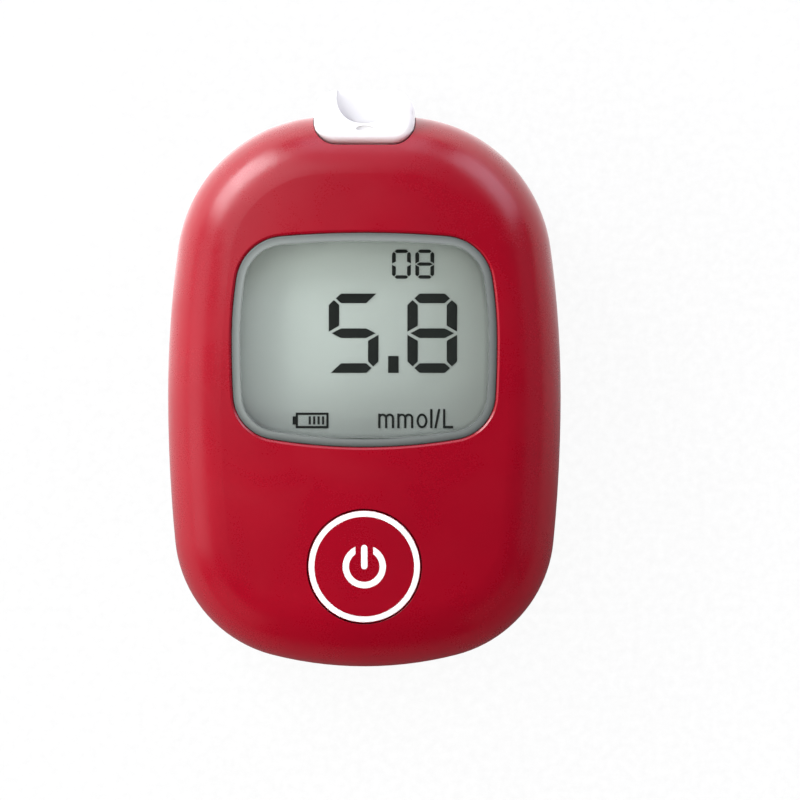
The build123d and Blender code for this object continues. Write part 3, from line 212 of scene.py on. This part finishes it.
SQUARE_ON = 0.04  # share of light that a clear face mirrors square on


def clear_over(g, below, haze_colour, dull, veil_share):
    """A clear face over another shader: it mirrors by angle, and a thin film of wipe marks,
    dust and hairlines dulls it here and there."""
    wiped = g.noise(6.0, detail=4.0, distortion=1.2)
    dust = g.remap(g.cells(0.9), 0.03, 0.08, 1.0, 0.0)
    dust = g.times(dust, g.remap(g.noise(3.0), 0.56, 0.64))
    hair = g.times(g.scratches(9.0, 0.05, 35.0, 0.05), g.remap(g.noise(7.0), 0.5, 0.62))
    haze = g.math("MAXIMUM", g.times(dust, 0.5), g.times(hair, 0.25))
    normal = g.bump(g.noise(4.0, detail=1.0), 0.0015)
    normal = g.bump(g.inverse(hair), 0.0006, normal)
    gloss = g.add("ShaderNodeBsdfGlossy", {
        "Color": (1.0, 1.0, 1.0), "Roughness": g.remap(wiped, 0.35, 0.7, 0.03, dull),
        "Normal": normal,
    }).outputs[0]
    facing = g.add("ShaderNodeLayerWeight", {"Blend": 0.5, "Normal": normal}).outputs["Facing"]
    grazing = g.math("POWER", facing, 5.0)
    by_angle = g.math("MULTIPLY_ADD", grazing, 1 - SQUARE_ON, SQUARE_ON)
    plate = g.add("ShaderNodeMixShader", {0: by_angle, 1: below, 2: gloss}).outputs[0]
    veil = g.add("ShaderNodeBsdfDiffuse", {"Color": haze_colour}).outputs[0]
    dulled = g.add("ShaderNodeMixShader", {0: g.times(haze, veil_share), 1: plate, 2: veil})
    return g.close(dulled.outputs[0])


def clear(name, tint, haze_colour):
    """Clear plate that lets light straight through."""
    g = Graph(name)
    through = g.add("ShaderNodeBsdfTransparent", {"Color": tint}).outputs[0]
    return clear_over(g, through, haze_colour, 0.06, 0.02)


def rubber(name, colour, paler, rough, pores=0.0):
    """Rubber, silicone or foam: chalky drift, fine grain, and pores of this depth in a foam."""
    g = Graph(name)
    base = g.mix(g.remap(g.noise(3.5), 0.35, 0.7), colour, paler)
    grain = g.noise(0.12, detail=3.0)
    base = g.mix(g.remap(grain, 0.4, 0.8, 0.0, 0.3), base, paler)
    roughness = g.remap(grain, 0.3, 0.7, rough - 0.05, rough + 0.05)
    normal = g.bump(grain, 0.004, g.soft_edge(0.08))
    if pores:
        pits = g.remap(g.cells(0.35), 0.12, 0.32)
        base = g.mix(g.times(g.inverse(pits), 0.7), base, (0.005, 0.005, 0.005))
        normal = g.bump(pits, pores, normal)
    return g.finish(Base_Color=base, Roughness=roughness, Normal=normal)


def reflector():
    """Grey-green film behind the display's liquid crystal: a fine pearly grain, and painted light
    that makes it paler towards the upper left, where the window's walls shade it."""
    g = Graph("lcd_backing")
    x, y, _ = g.parts()
    # Painted light: paler towards the upper left, against the shade that the window's walls cast on the
    # display's left and top.
    across = g.math("ADD", g.times(x, -12.0), g.times(y, 9.0))
    lit = g.remap(g.math("ADD", across, g.remap(g.noise(14.0), 0.3, 0.7, -0.03, 0.03)), -0.1, 0.3)
    base = g.mix(lit, (0.43, 0.47, 0.44), (0.73, 0.8, 0.755))
    pearl = g.noise(0.09, detail=2.0)
    base = g.mix(g.remap(pearl, 0.35, 0.7, 0.0, 0.12), base, (0.45, 0.5, 0.46))
    roughness = g.remap(pearl, 0.3, 0.7, 0.5, 0.62)
    normal = g.bump(pearl, 0.002)
    return g.finish(Base_Color=base, Roughness=roughness, Normal=normal)


def ink():
    """Lit segments: near black, a touch green, with the grain of the cell's coating."""
    g = Graph("lcd_ink")
    grain = g.noise(0.1, detail=2.0)
    base = g.mix(g.remap(grain, 0.3, 0.7), (0.011, 0.014, 0.012), (0.017, 0.02, 0.018))
    base = g.mix(g.remap(g.noise(5.0), 0.4, 0.7, 0.0, 0.4), base, (0.02, 0.024, 0.021))
    return g.finish(
        Base_Color=base, Roughness=g.remap(grain, 0.3, 0.7, 0.42, 0.52),
        Normal=g.bump(grain, 0.001),
    )


def board():
    """Solder mask over copper: tracks as raised paler lines, gold pads, and weave below."""
    g = Graph("board_green")
    track = g.add("ShaderNodeTexBrick", {
        "Vector": g.place, "Scale": 330.0, "Mortar Size": 0.09, "Mortar Smooth": 0.2,
        "Brick Width": 1.7, "Row Height": 0.45, "Color1": (0.0, 0.0, 0.0),
        "Color2": (0.0, 0.0, 0.0), "Mortar": (1.0, 1.0, 1.0),
    }, offset=0.37).outputs["Fac"]
    track = g.times(track, g.remap(g.noise(6.0, detail=1.0), 0.46, 0.54))
    pad = g.remap(g.cells(4.6, random=0.6), 0.07, 0.09, 1.0, 0.0)
    weave = g.noise(0.5, detail=2.0, place=g.stretched((1.0, 0.3, 1.0)))
    base = g.mix(g.remap(weave, 0.3, 0.7), (0.012, 0.12, 0.045), (0.02, 0.16, 0.06))
    base = g.mix(g.times(track, 0.8), base, (0.045, 0.25, 0.1))
    base = g.mix(pad, base, (0.75, 0.56, 0.22))
    normal = g.bump(track, 0.03, g.soft_edge(0.06))
    normal = g.bump(weave, 0.003, normal)
    return g.finish(
        Base_Color=base, Roughness=g.remap(weave, 0.3, 0.7, 0.26, 0.4), Normal=normal,
        Metallic=g.times(pad, 0.9),
    )


def jacket(name, plus_y, plus_way):
    """Battery: a dark foil jacket with a copper-coloured band at its plus end, bare steel on
    its end faces and nub. The plus end is at plus_y metres and points to +Y or -Y."""
    g = Graph(name)
    y = g.parts()[1]
    from_end = g.times(g.math("SUBTRACT", plus_y, y), plus_way / MM)
    facing = g.math("ABSOLUTE", g.parts(g.normal)[1])
    bare = g.math("MAXIMUM", g.remap(facing, 0.75, 0.85), g.remap(from_end, 0.95, 1.05, 1.0, 0.0))
    wrinkle = g.noise(2.2, detail=3.0, place=g.stretched((1.0, 0.25, 1.0)))
    band = g.remap(from_end, 11.9, 12.0, 1.0, 0.0)
    line = g.times(g.remap(from_end, 12.5, 12.55), g.remap(from_end, 12.95, 13.0, 1.0, 0.0))
    printed = g.math("MAXIMUM", band, line)
    dark = g.mix(g.remap(wrinkle, 0.35, 0.7), (0.016, 0.018, 0.022), (0.03, 0.033, 0.04))
    copper = g.mix(g.remap(wrinkle, 0.35, 0.7), (0.62, 0.30, 0.13), (0.52, 0.24, 0.1))
    foil = g.mix(printed, dark, copper)
    scuff = g.remap(g.noise(0.8, detail=4.0), 0.62, 0.7)
    foil = g.mix(g.times(scuff, 0.25), foil, (0.45, 0.45, 0.46))
    stain = g.remap(g.noise(0.6, detail=4.0), 0.35, 0.7)
    steel = g.mix(stain, (0.66, 0.66, 0.68), (0.45, 0.45, 0.47))
    base = g.mix(bare, foil, steel)
    roughness = g.math("ADD", g.remap(wrinkle, 0.3, 0.7, 0.2, 0.32), g.times(scuff, 0.2))
    normal = g.bump(wrinkle, 0.006)
    normal = g.bump(g.noise(0.15), 0.0012, normal)
    return g.finish(
        Base_Color=base, Roughness=roughness, Normal=normal,
        Metallic=g.math("MAXIMUM", bare, g.times(printed, 0.8)),
    )


def silver_label():
    """Blank silver label film: brushed along its length, with a fine pressed border."""
    g = Graph("label_film")
    low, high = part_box("rating_label")
    middle, half = (low + high) / 2, (high - low) / 2
    x, y, _ = g.parts()
    in_x = g.math("SUBTRACT", half.x, g.math("ABSOLUTE", g.math("SUBTRACT", x, middle.x)))
    in_y = g.math("SUBTRACT", half.y, g.math("ABSOLUTE", g.math("SUBTRACT", y, middle.y)))
    inside = g.math("MINIMUM", in_x, in_y)
    border = g.times(
        g.remap(inside, 0.8 * MM, 0.9 * MM), g.remap(inside, 1.1 * MM, 1.2 * MM, 1.0, 0.0),
    )
    brush = g.noise(0.16, detail=3.0, place=g.stretched((1.0, 0.04, 1.0)))
    base = g.mix(g.remap(brush, 0.3, 0.7), (0.58, 0.59, 0.6), (0.7, 0.7, 0.71))
    rub = g.remap(g.noise(4.0, detail=4.0), 0.5, 0.68)
    base = g.mix(g.times(rub, 0.3), base, (0.5, 0.5, 0.5))
    base = g.mix(g.times(border, 0.75), base, (0.2, 0.205, 0.21))
    roughness = g.math("ADD", g.remap(brush, 0.3, 0.7, 0.3, 0.42), g.times(rub, 0.1))
    normal = g.bump(brush, 0.0015)
    normal = g.bump(g.inverse(border), 0.01, normal)
    return g.finish(Base_Color=base, Metallic=0.55, Roughness=roughness, Normal=normal)


def chips():
    """Ceramic chips with tinned ends: each is long in X, so its ends are where X faces."""
    g = Graph("component_body")
    facing = g.math("ABSOLUTE", g.parts(g.normal)[0])
    tin = g.remap(facing, 0.7, 0.8)
    shade = g.noise(0.5, detail=3.0)
    base = g.mix(g.remap(shade, 0.35, 0.7), (0.36, 0.24, 0.13), (0.24, 0.15, 0.08))
    base = g.mix(tin, base, (0.7, 0.7, 0.7))
    return g.finish(
        Base_Color=base, Metallic=tin, Roughness=g.remap(shade, 0.3, 0.7, 0.35, 0.5),
        Normal=g.bump(shade, 0.004, g.soft_edge(0.06)),
    )


def layered():
    """Display connector: thin black and clear silicone layers, stacked along X."""
    g = Graph("zebra_rubber")
    pitch = 0.18 * MM
    wave = g.math("SINE", g.times(g.parts()[0], 2 * math.pi / pitch))
    base = g.mix(g.remap(wave, -0.2, 0.2), (0.02, 0.02, 0.02), (0.5, 0.51, 0.47))
    grain = g.noise(0.2)
    base = g.mix(g.remap(grain, 0.4, 0.7, 0.0, 0.3), base, (0.3, 0.3, 0.28))
    return g.finish(
        Base_Color=base, Roughness=g.remap(grain, 0.3, 0.7, 0.5, 0.62),
        Normal=g.bump(grain, 0.003, g.soft_edge(0.08)),
    )


def give(material, *names):
    """Puts material on every slot of these CAD nodes."""
    for name in names:
        for slot in nodes[name].material_slots:
            slot.material = material


give(
    moulded("shell_red", (0.278, 0.0021, 0.0112), (0.252, 0.0017, 0.0102), 0.3, wear=0.12,
            worn=(0.4, 0.025, 0.035)),
    "front_shell", "button_cap",
)
give(
    moulded("shell_white", (0.5, 0.5, 0.49), (0.46, 0.46, 0.447), 0.42, grain=1.6,
            worn=(0.42, 0.415, 0.4)),
    "rear_shell", "battery_door",
)
give(
    moulded("port_white", (0.84, 0.84, 0.835), (0.81, 0.81, 0.805), 0.3, worn=(0.74, 0.73, 0.71)),
    "strip_port", "button_ring", "button_symbol",
)
give(clear("lcd_glass", (0.985, 0.992, 0.985), (0.7, 0.72, 0.7)), "lcd_front_glass")
give(rubber("gasket_foam", (0.02, 0.021, 0.02), (0.045, 0.046, 0.044), 0.85, 0.05), "lcd_gasket")
give(reflector(), "lcd_reflector", "lcd_rear_glass")
give(ink(), "lcd_segments")
give(moulded("frame_plastic", (0.72, 0.72, 0.7), (0.66, 0.66, 0.635), 0.5, grain=1.5), "lcd_frame")
give(layered(), "zebra_strip")
give(board(), "main_board")
give(
    moulded("chip_black", (0.018, 0.018, 0.02), (0.012, 0.012, 0.013), 0.55, grain=3.0, edge=0.08),
    "processor", "amplifier",
)
give(metal("can_metal", (0.74, 0.74, 0.75), (0.5, 0.5, 0.5), 0.25), "crystal")
give(chips(), "small_components")
give(
    moulded("buzzer_black", (0.02, 0.02, 0.022), (0.014, 0.014, 0.015), 0.45, grain=2.0), "buzzer",
)
give(rubber("silicone", (0.68, 0.68, 0.65), (0.76, 0.76, 0.74), 0.55), "button_dome")
give(rubber("carbon", (0.018, 0.018, 0.018), (0.035, 0.035, 0.035), 0.75), "carbon_pill")
give(
    moulded("connector_black", (0.02, 0.02, 0.021), (0.014, 0.014, 0.015), 0.4, grain=1.5),
    "strip_connector",
)
give(metal("contact_gold", (0.85, 0.62, 0.25), (0.6, 0.42, 0.18), 0.24), "strip_contacts")
# The cells lie head to tail: the left one has its plus end towards +Y, the right one towards -Y.
give(jacket("battery_jacket_left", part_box("battery_left")[1].y, 1.0), "battery_left")
give(jacket("battery_jacket_right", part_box("battery_right")[0].y, -1.0), "battery_right")
give(
    metal("spring_steel", (0.68, 0.68, 0.69), (0.45, 0.44, 0.43), 0.28),
    "battery_springs", "battery_contacts", "battery_link",
)
give(
    metal("screw_steel", (0.56, 0.57, 0.59), (0.36, 0.35, 0.34), 0.32, (1.0, 1.0, 1.0), 0.4),
    "case_screws", "board_screws",
)
give(silver_label(), "rating_label")


# ================================================================ lens with painted shade on its border
# The window's outline and the crown it lies on, with the same radii as the CAD's. A half of the
# outline has the radii of its side, its end and its corner, as shares of the window's half sizes.
FIT = 0.1 * MM
LENS_BELOW, LENS_THICKNESS, LENS_TAPE = 0.25 * MM, 1.0 * MM, 0.05 * MM
LENS_EDGE = 0.12 * MM
CROWN_ACROSS, CROWN_ALONG = 120 * MM, 310 * MM
UPPER_HALF, LOWER_HALF = (4.66, 6.01, 0.419), (11.66, 3.38, 0.385)
ARC_STEPS = 14
BORDER_ROWS, INNER_ROWS = 18, 14

# The painted shade on the border is widest and darkest at the lower right, and its grey cover, painted
# like the lit display, hides the ledge that the lens lies on.
LOWER_RIGHT = (0.62, -0.78)
BORDER_NARROW, BORDER_WIDE = 1.75 * MM, 2.15 * MM
BORDER_PALE, BORDER_DARK = 0.68, 0.86
BORDER_FADE = 1.2
# Grey of the cover, painted to look like the display as lit below the lens.
PAINTED_DISPLAY_GREY = (0.27, 0.297, 0.28)
COVER_WIDTH, COVER_FADE = 1.05 * MM, 0.45 * MM
PAINTED_SHADE_REACH = BORDER_WIDE + 0.1 * MM

lens_low, lens_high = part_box("display_lens")
window_middle = (lens_low + lens_high) / 2
window_half = (lens_high - lens_low) / 2 + Vector((FIT, FIT, 0))
crown_y = (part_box("front_shell")[0].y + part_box("rear_shell")[1].y) / 2
crown_top = lens_high.z + LENS_BELOW


def crown_height(x, y, below):
    """Height of the casing's crowned front at x, y, moved in by below."""
    across = CROWN_ACROSS - below
    reach = CROWN_ALONG - CROWN_ACROSS + math.sqrt(across**2 - x**2)
    return crown_top - CROWN_ALONG + math.sqrt(reach**2 - (y - crown_y) ** 2)


def quadrant(shape, inset):
    """Points from the window's widest line to its end in one quadrant, with the directions
    outwards: three tangent arcs along the side, round the corner and along the end."""
    a, b = window_half.x, window_half.y
    side_share, end_share, corner_share = shape
    side_radius = side_share * b**2 / a - inset
    end_radius = end_share * a**2 / b - inset
    corner_radius = corner_share * math.sqrt(a * b) - inset
    side = Vector((a - inset - side_radius, 0.0))
    end = Vector((0.0, b - inset - end_radius))
    apart = (end - side).length
    to_side, to_end = side_radius - corner_radius, end_radius - corner_radius
    along = (to_side**2 - to_end**2 + apart**2) / (2 * apart)
    off = math.sqrt(to_side**2 - along**2)
    way = (end - side) / apart
    beside = Vector((-way.y, way.x)) * off
    corner = side + way * along - beside
    if corner.x < 0 or corner.y < 0:
        corner = side + way * along + beside
    turn_side = math.atan2(corner.y - side.y, corner.x - side.x)
    turn_end = math.atan2(corner.y - end.y, corner.x - end.x)
    found = []
    for centre, radius, start, stop in (
        (side, side_radius, 0.0, turn_side),
        (corner, corner_radius, turn_side, turn_end),
        (end, end_radius, turn_end, math.pi / 2),
    ):
        for step in range(ARC_STEPS):
            turn = start + (stop - start) * step / ARC_STEPS
            way = Vector((math.cos(turn), math.sin(turn)))
            found.append((centre + way * radius, way))
    return found


def loop(inset):
    """Closed loop of points and outward directions around the window, moved in by inset."""
    upper, lower = quadrant(UPPER_HALF, inset), quadrant(LOWER_HALF, inset)
    top = (Vector((0.0, window_half.y - inset)), Vector((0.0, 1.0)))
    bottom = (Vector((0.0, -window_half.y + inset)), Vector((0.0, -1.0)))

    def flipped(points, x, y):
        return [(Vector((p.x * x, p.y * y)), Vector((w.x * x, w.y * y))) for p, w in points]

    return (
        flipped(upper, 1, 1) + [top] + flipped(upper[:0:-1], -1, 1)
        + flipped(lower, -1, -1) + [bottom] + flipped(lower[:0:-1], 1, -1)
    )


def smooth(share):
    """Share from 0 to 1 with a soft start and end."""
    share = min(1.0, max(0.0, share))
    return share * share * (3 - 2 * share)


def window_lens():
    """Clear lens with painted shade on its border: dark at the window's edge and fading inwards,
    wider and darker towards the lower right. It stands for the lens of the CAD."""
    mesh = bmesh.new()
    shade_layer = mesh.verts.layers.float.new("shade")
    cover_layer = mesh.verts.layers.float.new("cover")

    def ring(inset, sunk, share=1.0):
        """One loop of vertices, inset from the window, sunk below the lens's face, and drawn
        in to a share of its size."""
        verts = []
        for point, way in loop(inset):
            x, y = window_middle.x + point.x * share, window_middle.y + point.y * share
            vert = mesh.verts.new((x, y, crown_height(x, y, LENS_BELOW) - sunk))
            lower_right = 0.5 + 0.5 * (way.x * LOWER_RIGHT[0] + way.y * LOWER_RIGHT[1])
            width = BORDER_NARROW + (BORDER_WIDE - BORDER_NARROW) * smooth(lower_right)
            depth = BORDER_PALE + (BORDER_DARK - BORDER_PALE) * smooth(lower_right)
            # Painted shade: darkest at the window's edge and fading inwards. The cover is the grey
            # painted like the lit display, laid over the ledge.
            vert[shade_layer] = depth * (1 - min(1.0, inset / width)) ** BORDER_FADE
            vert[cover_layer] = 1 - smooth((inset - COVER_WIDTH) / COVER_FADE)
            verts.append(vert)
        return verts

    flat = FIT + LENS_EDGE
    rings = [
        ring(FIT, LENS_THICKNESS - LENS_TAPE),
        ring(FIT, LENS_EDGE),
        ring(FIT + LENS_EDGE * 0.3, LENS_EDGE * 0.3),
    ]
    for row in range(BORDER_ROWS + 1):
        rings.append(ring(flat + (PAINTED_SHADE_REACH - flat) * row / BORDER_ROWS, 0.0))
    for row in range(1, INNER_ROWS):
        rings.append(ring(PAINTED_SHADE_REACH, 0.0, 1 - row / INNER_ROWS))
    for outer, within in zip(rings, rings[1:]):
        for index in range(len(outer)):
            after = (index + 1) % len(outer)
            mesh.faces.new((outer[index], outer[after], within[after], within[index]))
    x, y = window_middle.x, window_middle.y
    middle = mesh.verts.new((x, y, crown_height(x, y, LENS_BELOW)))
    last = rings[-1]
    for index, vert in enumerate(last):
        mesh.faces.new((vert, last[(index + 1) % len(last)], middle))
    bmesh.ops.recalc_face_normals(mesh, faces=mesh.faces)
    if sum(face.normal.z for face in mesh.faces) < 0:
        bmesh.ops.reverse_faces(mesh, faces=mesh.faces)
    for face in mesh.faces:
        face.smooth = True
    data = bpy.data.meshes.new("window_lens")
    mesh.to_mesh(data)
    mesh.free()
    lens = bpy.data.objects.new("window_lens", data)
    bpy.context.scene.collection.objects.link(lens)
    data.materials.append(lens_material())
    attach(lens, "case")
    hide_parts("display_lens")


def lens_material():
    """Clear acrylic with painted shade on its border: shade darkens what lies below, and cover, a grey
    painted like the lit display, hides the ledge that the lens lies on."""
    g = Graph("clear_lens")
    shade = g.add("ShaderNodeAttribute", attribute_name="shade").outputs["Fac"]
    cover = g.add("ShaderNodeAttribute", attribute_name="cover").outputs["Fac"]
    grain = g.remap(g.noise(0.3, detail=2.0), 0.3, 0.7, -0.015, 0.015)
    # Painted shade: it darkens the cover's grey and tints what shows through below.
    left = g.inverse(g.math("ADD", shade, g.times(grain, cover)))
    painted = g.mix(left, (0.0, 0.0, 0.0), PAINTED_DISPLAY_GREY)
    paint = g.add("ShaderNodeBsdfDiffuse", {"Color": painted}).outputs[0]
    tint = g.mix(left, (0.0, 0.0, 0.0), (0.985, 0.99, 0.985))
    through = g.add("ShaderNodeBsdfTransparent", {"Color": tint}).outputs[0]
    below = g.add("ShaderNodeMixShader", {0: cover, 1: through, 2: paint}).outputs[0]
    return clear_over(g, below, (0.8, 0.8, 0.8), 0.09, 0.05)


window_lens()


# ================================================================ studio
# The camera looks straight down. The square picture shows PICTURE_WIDTH at the casing's widest
# height.
PICTURE_WIDTH = 118.2 * MM
WIDEST_HEIGHT = 10 * MM
CAMERA_SPOT = (5.26 * MM, -3.15 * MM)
CAMERA_DISTANCE = 4.0

camera_data = bpy.data.cameras.new("camera")
camera_data.sensor_width = 36.0
camera_data.lens = camera_data.sensor_width * CAMERA_DISTANCE / PICTURE_WIDTH
camera_data.clip_start, camera_data.clip_end = 0.1, 20.0
camera = bpy.data.objects.new("camera", camera_data)
camera.location = (*CAMERA_SPOT, CAMERA_DISTANCE + WIDEST_HEIGHT)
bpy.context.scene.collection.objects.link(camera)
bpy.context.scene.camera = camera

FLOOR_REACH = 6.0
GLOW_WAY = (-0.31, 0.95)  # from the meter, to where the floor's glow is strongest
GLOW_WEAK, GLOW_STRONG = 0.08, 2.3
GLOW_FULL, GLOW_GONE = 0.25, 0.5  # metres from the meter


def pale_floor():
    """White paper sweep. It shows plain white to the camera. What lies on it is lit as if by dim
    paper, and mirrors a glow on the key light's side, where a studio's reflector lies."""
    g = Graph("floor")
    fibre = g.noise(1.2, detail=4.0)
    paper = g.mix(g.remap(g.noise(60.0), 0.3, 0.7), (0.05, 0.05, 0.05), (0.06, 0.06, 0.06))
    relief = g.bump(fibre, 0.02)
    lit = g.add("ShaderNodeBsdfDiffuse", {"Color": paper, "Normal": relief}).outputs[0]
    bright = g.mix(g.remap(fibre, 0.3, 0.7), (0.9, 0.9, 0.9), (0.94, 0.94, 0.94))
    white = g.add("ShaderNodeEmission", {"Color": bright}).outputs[0]
    away = g.add("ShaderNodeVectorMath", {0: g.place}, operation="NORMALIZE").outputs[0]
    x, y, _ = g.parts(away)
    toward = g.math("ADD", g.times(x, GLOW_WAY[0]), g.times(y, GLOW_WAY[1]))
    side = g.math("POWER", g.remap(toward, -1.0, 1.0), 1.6)
    far = g.add("ShaderNodeVectorMath", {0: g.place}, operation="LENGTH").outputs["Value"]
    strength = g.times(
        g.remap(side, 0.0, 1.0, GLOW_WEAK, GLOW_STRONG), g.remap(far, GLOW_FULL, GLOW_GONE, 1.0, 0.0),
    )
    glow = g.add("ShaderNodeEmission", {"Strength": strength}).outputs[0]
    ray = g.add("ShaderNodeLightPath").outputs
    mirrored = g.add("ShaderNodeMixShader", {0: ray["Is Glossy Ray"], 2: glow}).outputs[0]
    shown = g.add("ShaderNodeMixShader", {0: ray["Is Camera Ray"], 1: mirrored, 2: white})
    return g.close(g.add("ShaderNodeAddShader", {0: lit, 1: shown.outputs[0]}).outputs[0])


floor_data = bpy.data.meshes.new("floor")
floor_corners = [(x * FLOOR_REACH, y * FLOOR_REACH, 0) for x, y in ((-1, -1), (1, -1), (1, 1), (-1, 1))]
floor_data.from_pydata(floor_corners, [], [(0, 1, 2, 3)])
floor = bpy.data.objects.new("floor", floor_data)
bpy.context.scene.collection.objects.link(floor)
floor_data.materials.append(pale_floor())

LOOK_AT = Vector((0.0, 0.0, 12 * MM))
LAMP_DISTANCE, LAMP_SIZE = 0.8, 0.45
PLAIN, COOL = (1.0, 1.0, 1.0), (1.0, 0.97, 1.16)


def softbox(name, azimuth, elevation, power, colour, shines):
    """Square area light that faces the meter. Azimuth is from +X towards +Y, in degrees. One that
    doesn't shine lights surfaces and leaves no highlight on them, as through crossed polarisers."""
    data = bpy.data.lights.new(name, "AREA")
    data.shape = "SQUARE"
    data.size = LAMP_SIZE
    data.energy = power
    data.color = colour
    lamp = bpy.data.objects.new(name, data)
    a, e = math.radians(azimuth), math.radians(elevation)
    way = Vector((math.cos(a) * math.cos(e), math.sin(a) * math.cos(e), math.sin(e)))
    lamp.location = LOOK_AT + way * LAMP_DISTANCE
    lamp.rotation_euler = way.to_track_quat("Z", "Y").to_euler()
    lamp.visible_glossy = shines
    data.cycles.use_multiple_importance_sampling = shines
    bpy.context.scene.collection.objects.link(lamp)


# Azimuth, elevation, power and colour of each softbox: those that shine, with the main one at
# the upper left and cooler ones at the top and right, and then those that leave no highlight.
for name, azimuth, elevation, power, colour in (
    ("key", 135, 18, 7.7, (1.0, 1.0, 1.03)),
    ("fill_upper_right", 45, 18, 2.8, COOL),
    ("top", 90, 18, 1.5, COOL),
    ("left", 180, 18, 0.95, (1.0, 1.0, 1.03)),
    ("lower_left", 225, 18, 0.2, PLAIN),
    ("right", 0, 18, 0.14, COOL),
    ("lower_right", 315, 18, 0.08, PLAIN),
    ("key_high", 135, 54, 1.2, (1.0, 1.0, 1.02)),
    ("top_high", 90, 54, 0.3, COOL),
    ("left_high", 180, 54, 0.15, (1.0, 1.0, 1.02)),
):
    softbox(name, azimuth, elevation, power, colour, True)
for name, azimuth, elevation, power in (
    ("soft_right", 0, 18, 1.1),
    ("soft_left", 180, 18, 4.4),
    ("soft_lower_left", 225, 18, 3.2),
    ("soft_bottom", 270, 18, 1.2),
    ("soft_lower_right", 315, 18, 0.5),
    ("soft_high_lower_right", 315, 45, 1.7),
    ("soft_overhead", 0, 90, 1.0),
):
    softbox(name, azimuth, elevation, power, PLAIN, False)


def dim_world():
    """Very dim surroundings: pale at the horizon, and dark overhead."""
    world = bpy.data.worlds.new("studio")
    world.use_nodes = True
    tree = world.node_tree
    tree.nodes.clear()
    direction = tree.nodes.new("ShaderNodeTexCoord")
    split = tree.nodes.new("ShaderNodeSeparateXYZ")
    ramp = tree.nodes.new("ShaderNodeValToRGB")
    backdrop = tree.nodes.new("ShaderNodeBackground")
    out = tree.nodes.new("ShaderNodeOutputWorld")
    low, high = ramp.color_ramp.elements
    low.position, low.color = 0.0, (0.85, 0.85, 0.86, 1)
    high.position, high.color = 0.9, (0.03, 0.03, 0.03, 1)
    ramp.color_ramp.elements.new(0.6).color = (0.45, 0.45, 0.455, 1)
    backdrop.inputs["Strength"].default_value = 0.01
    tree.links.new(direction.outputs["Generated"], split.inputs[0])
    tree.links.new(split.outputs[2], ramp.inputs[0])
    tree.links.new(ramp.outputs[0], backdrop.inputs["Color"])
    tree.links.new(backdrop.outputs[0], out.inputs["Surface"])
    return world


bpy.context.scene.world = dim_world()
bpy.context.scene.view_settings.view_transform = "Standard"
bpy.context.scene.view_settings.look = "None"
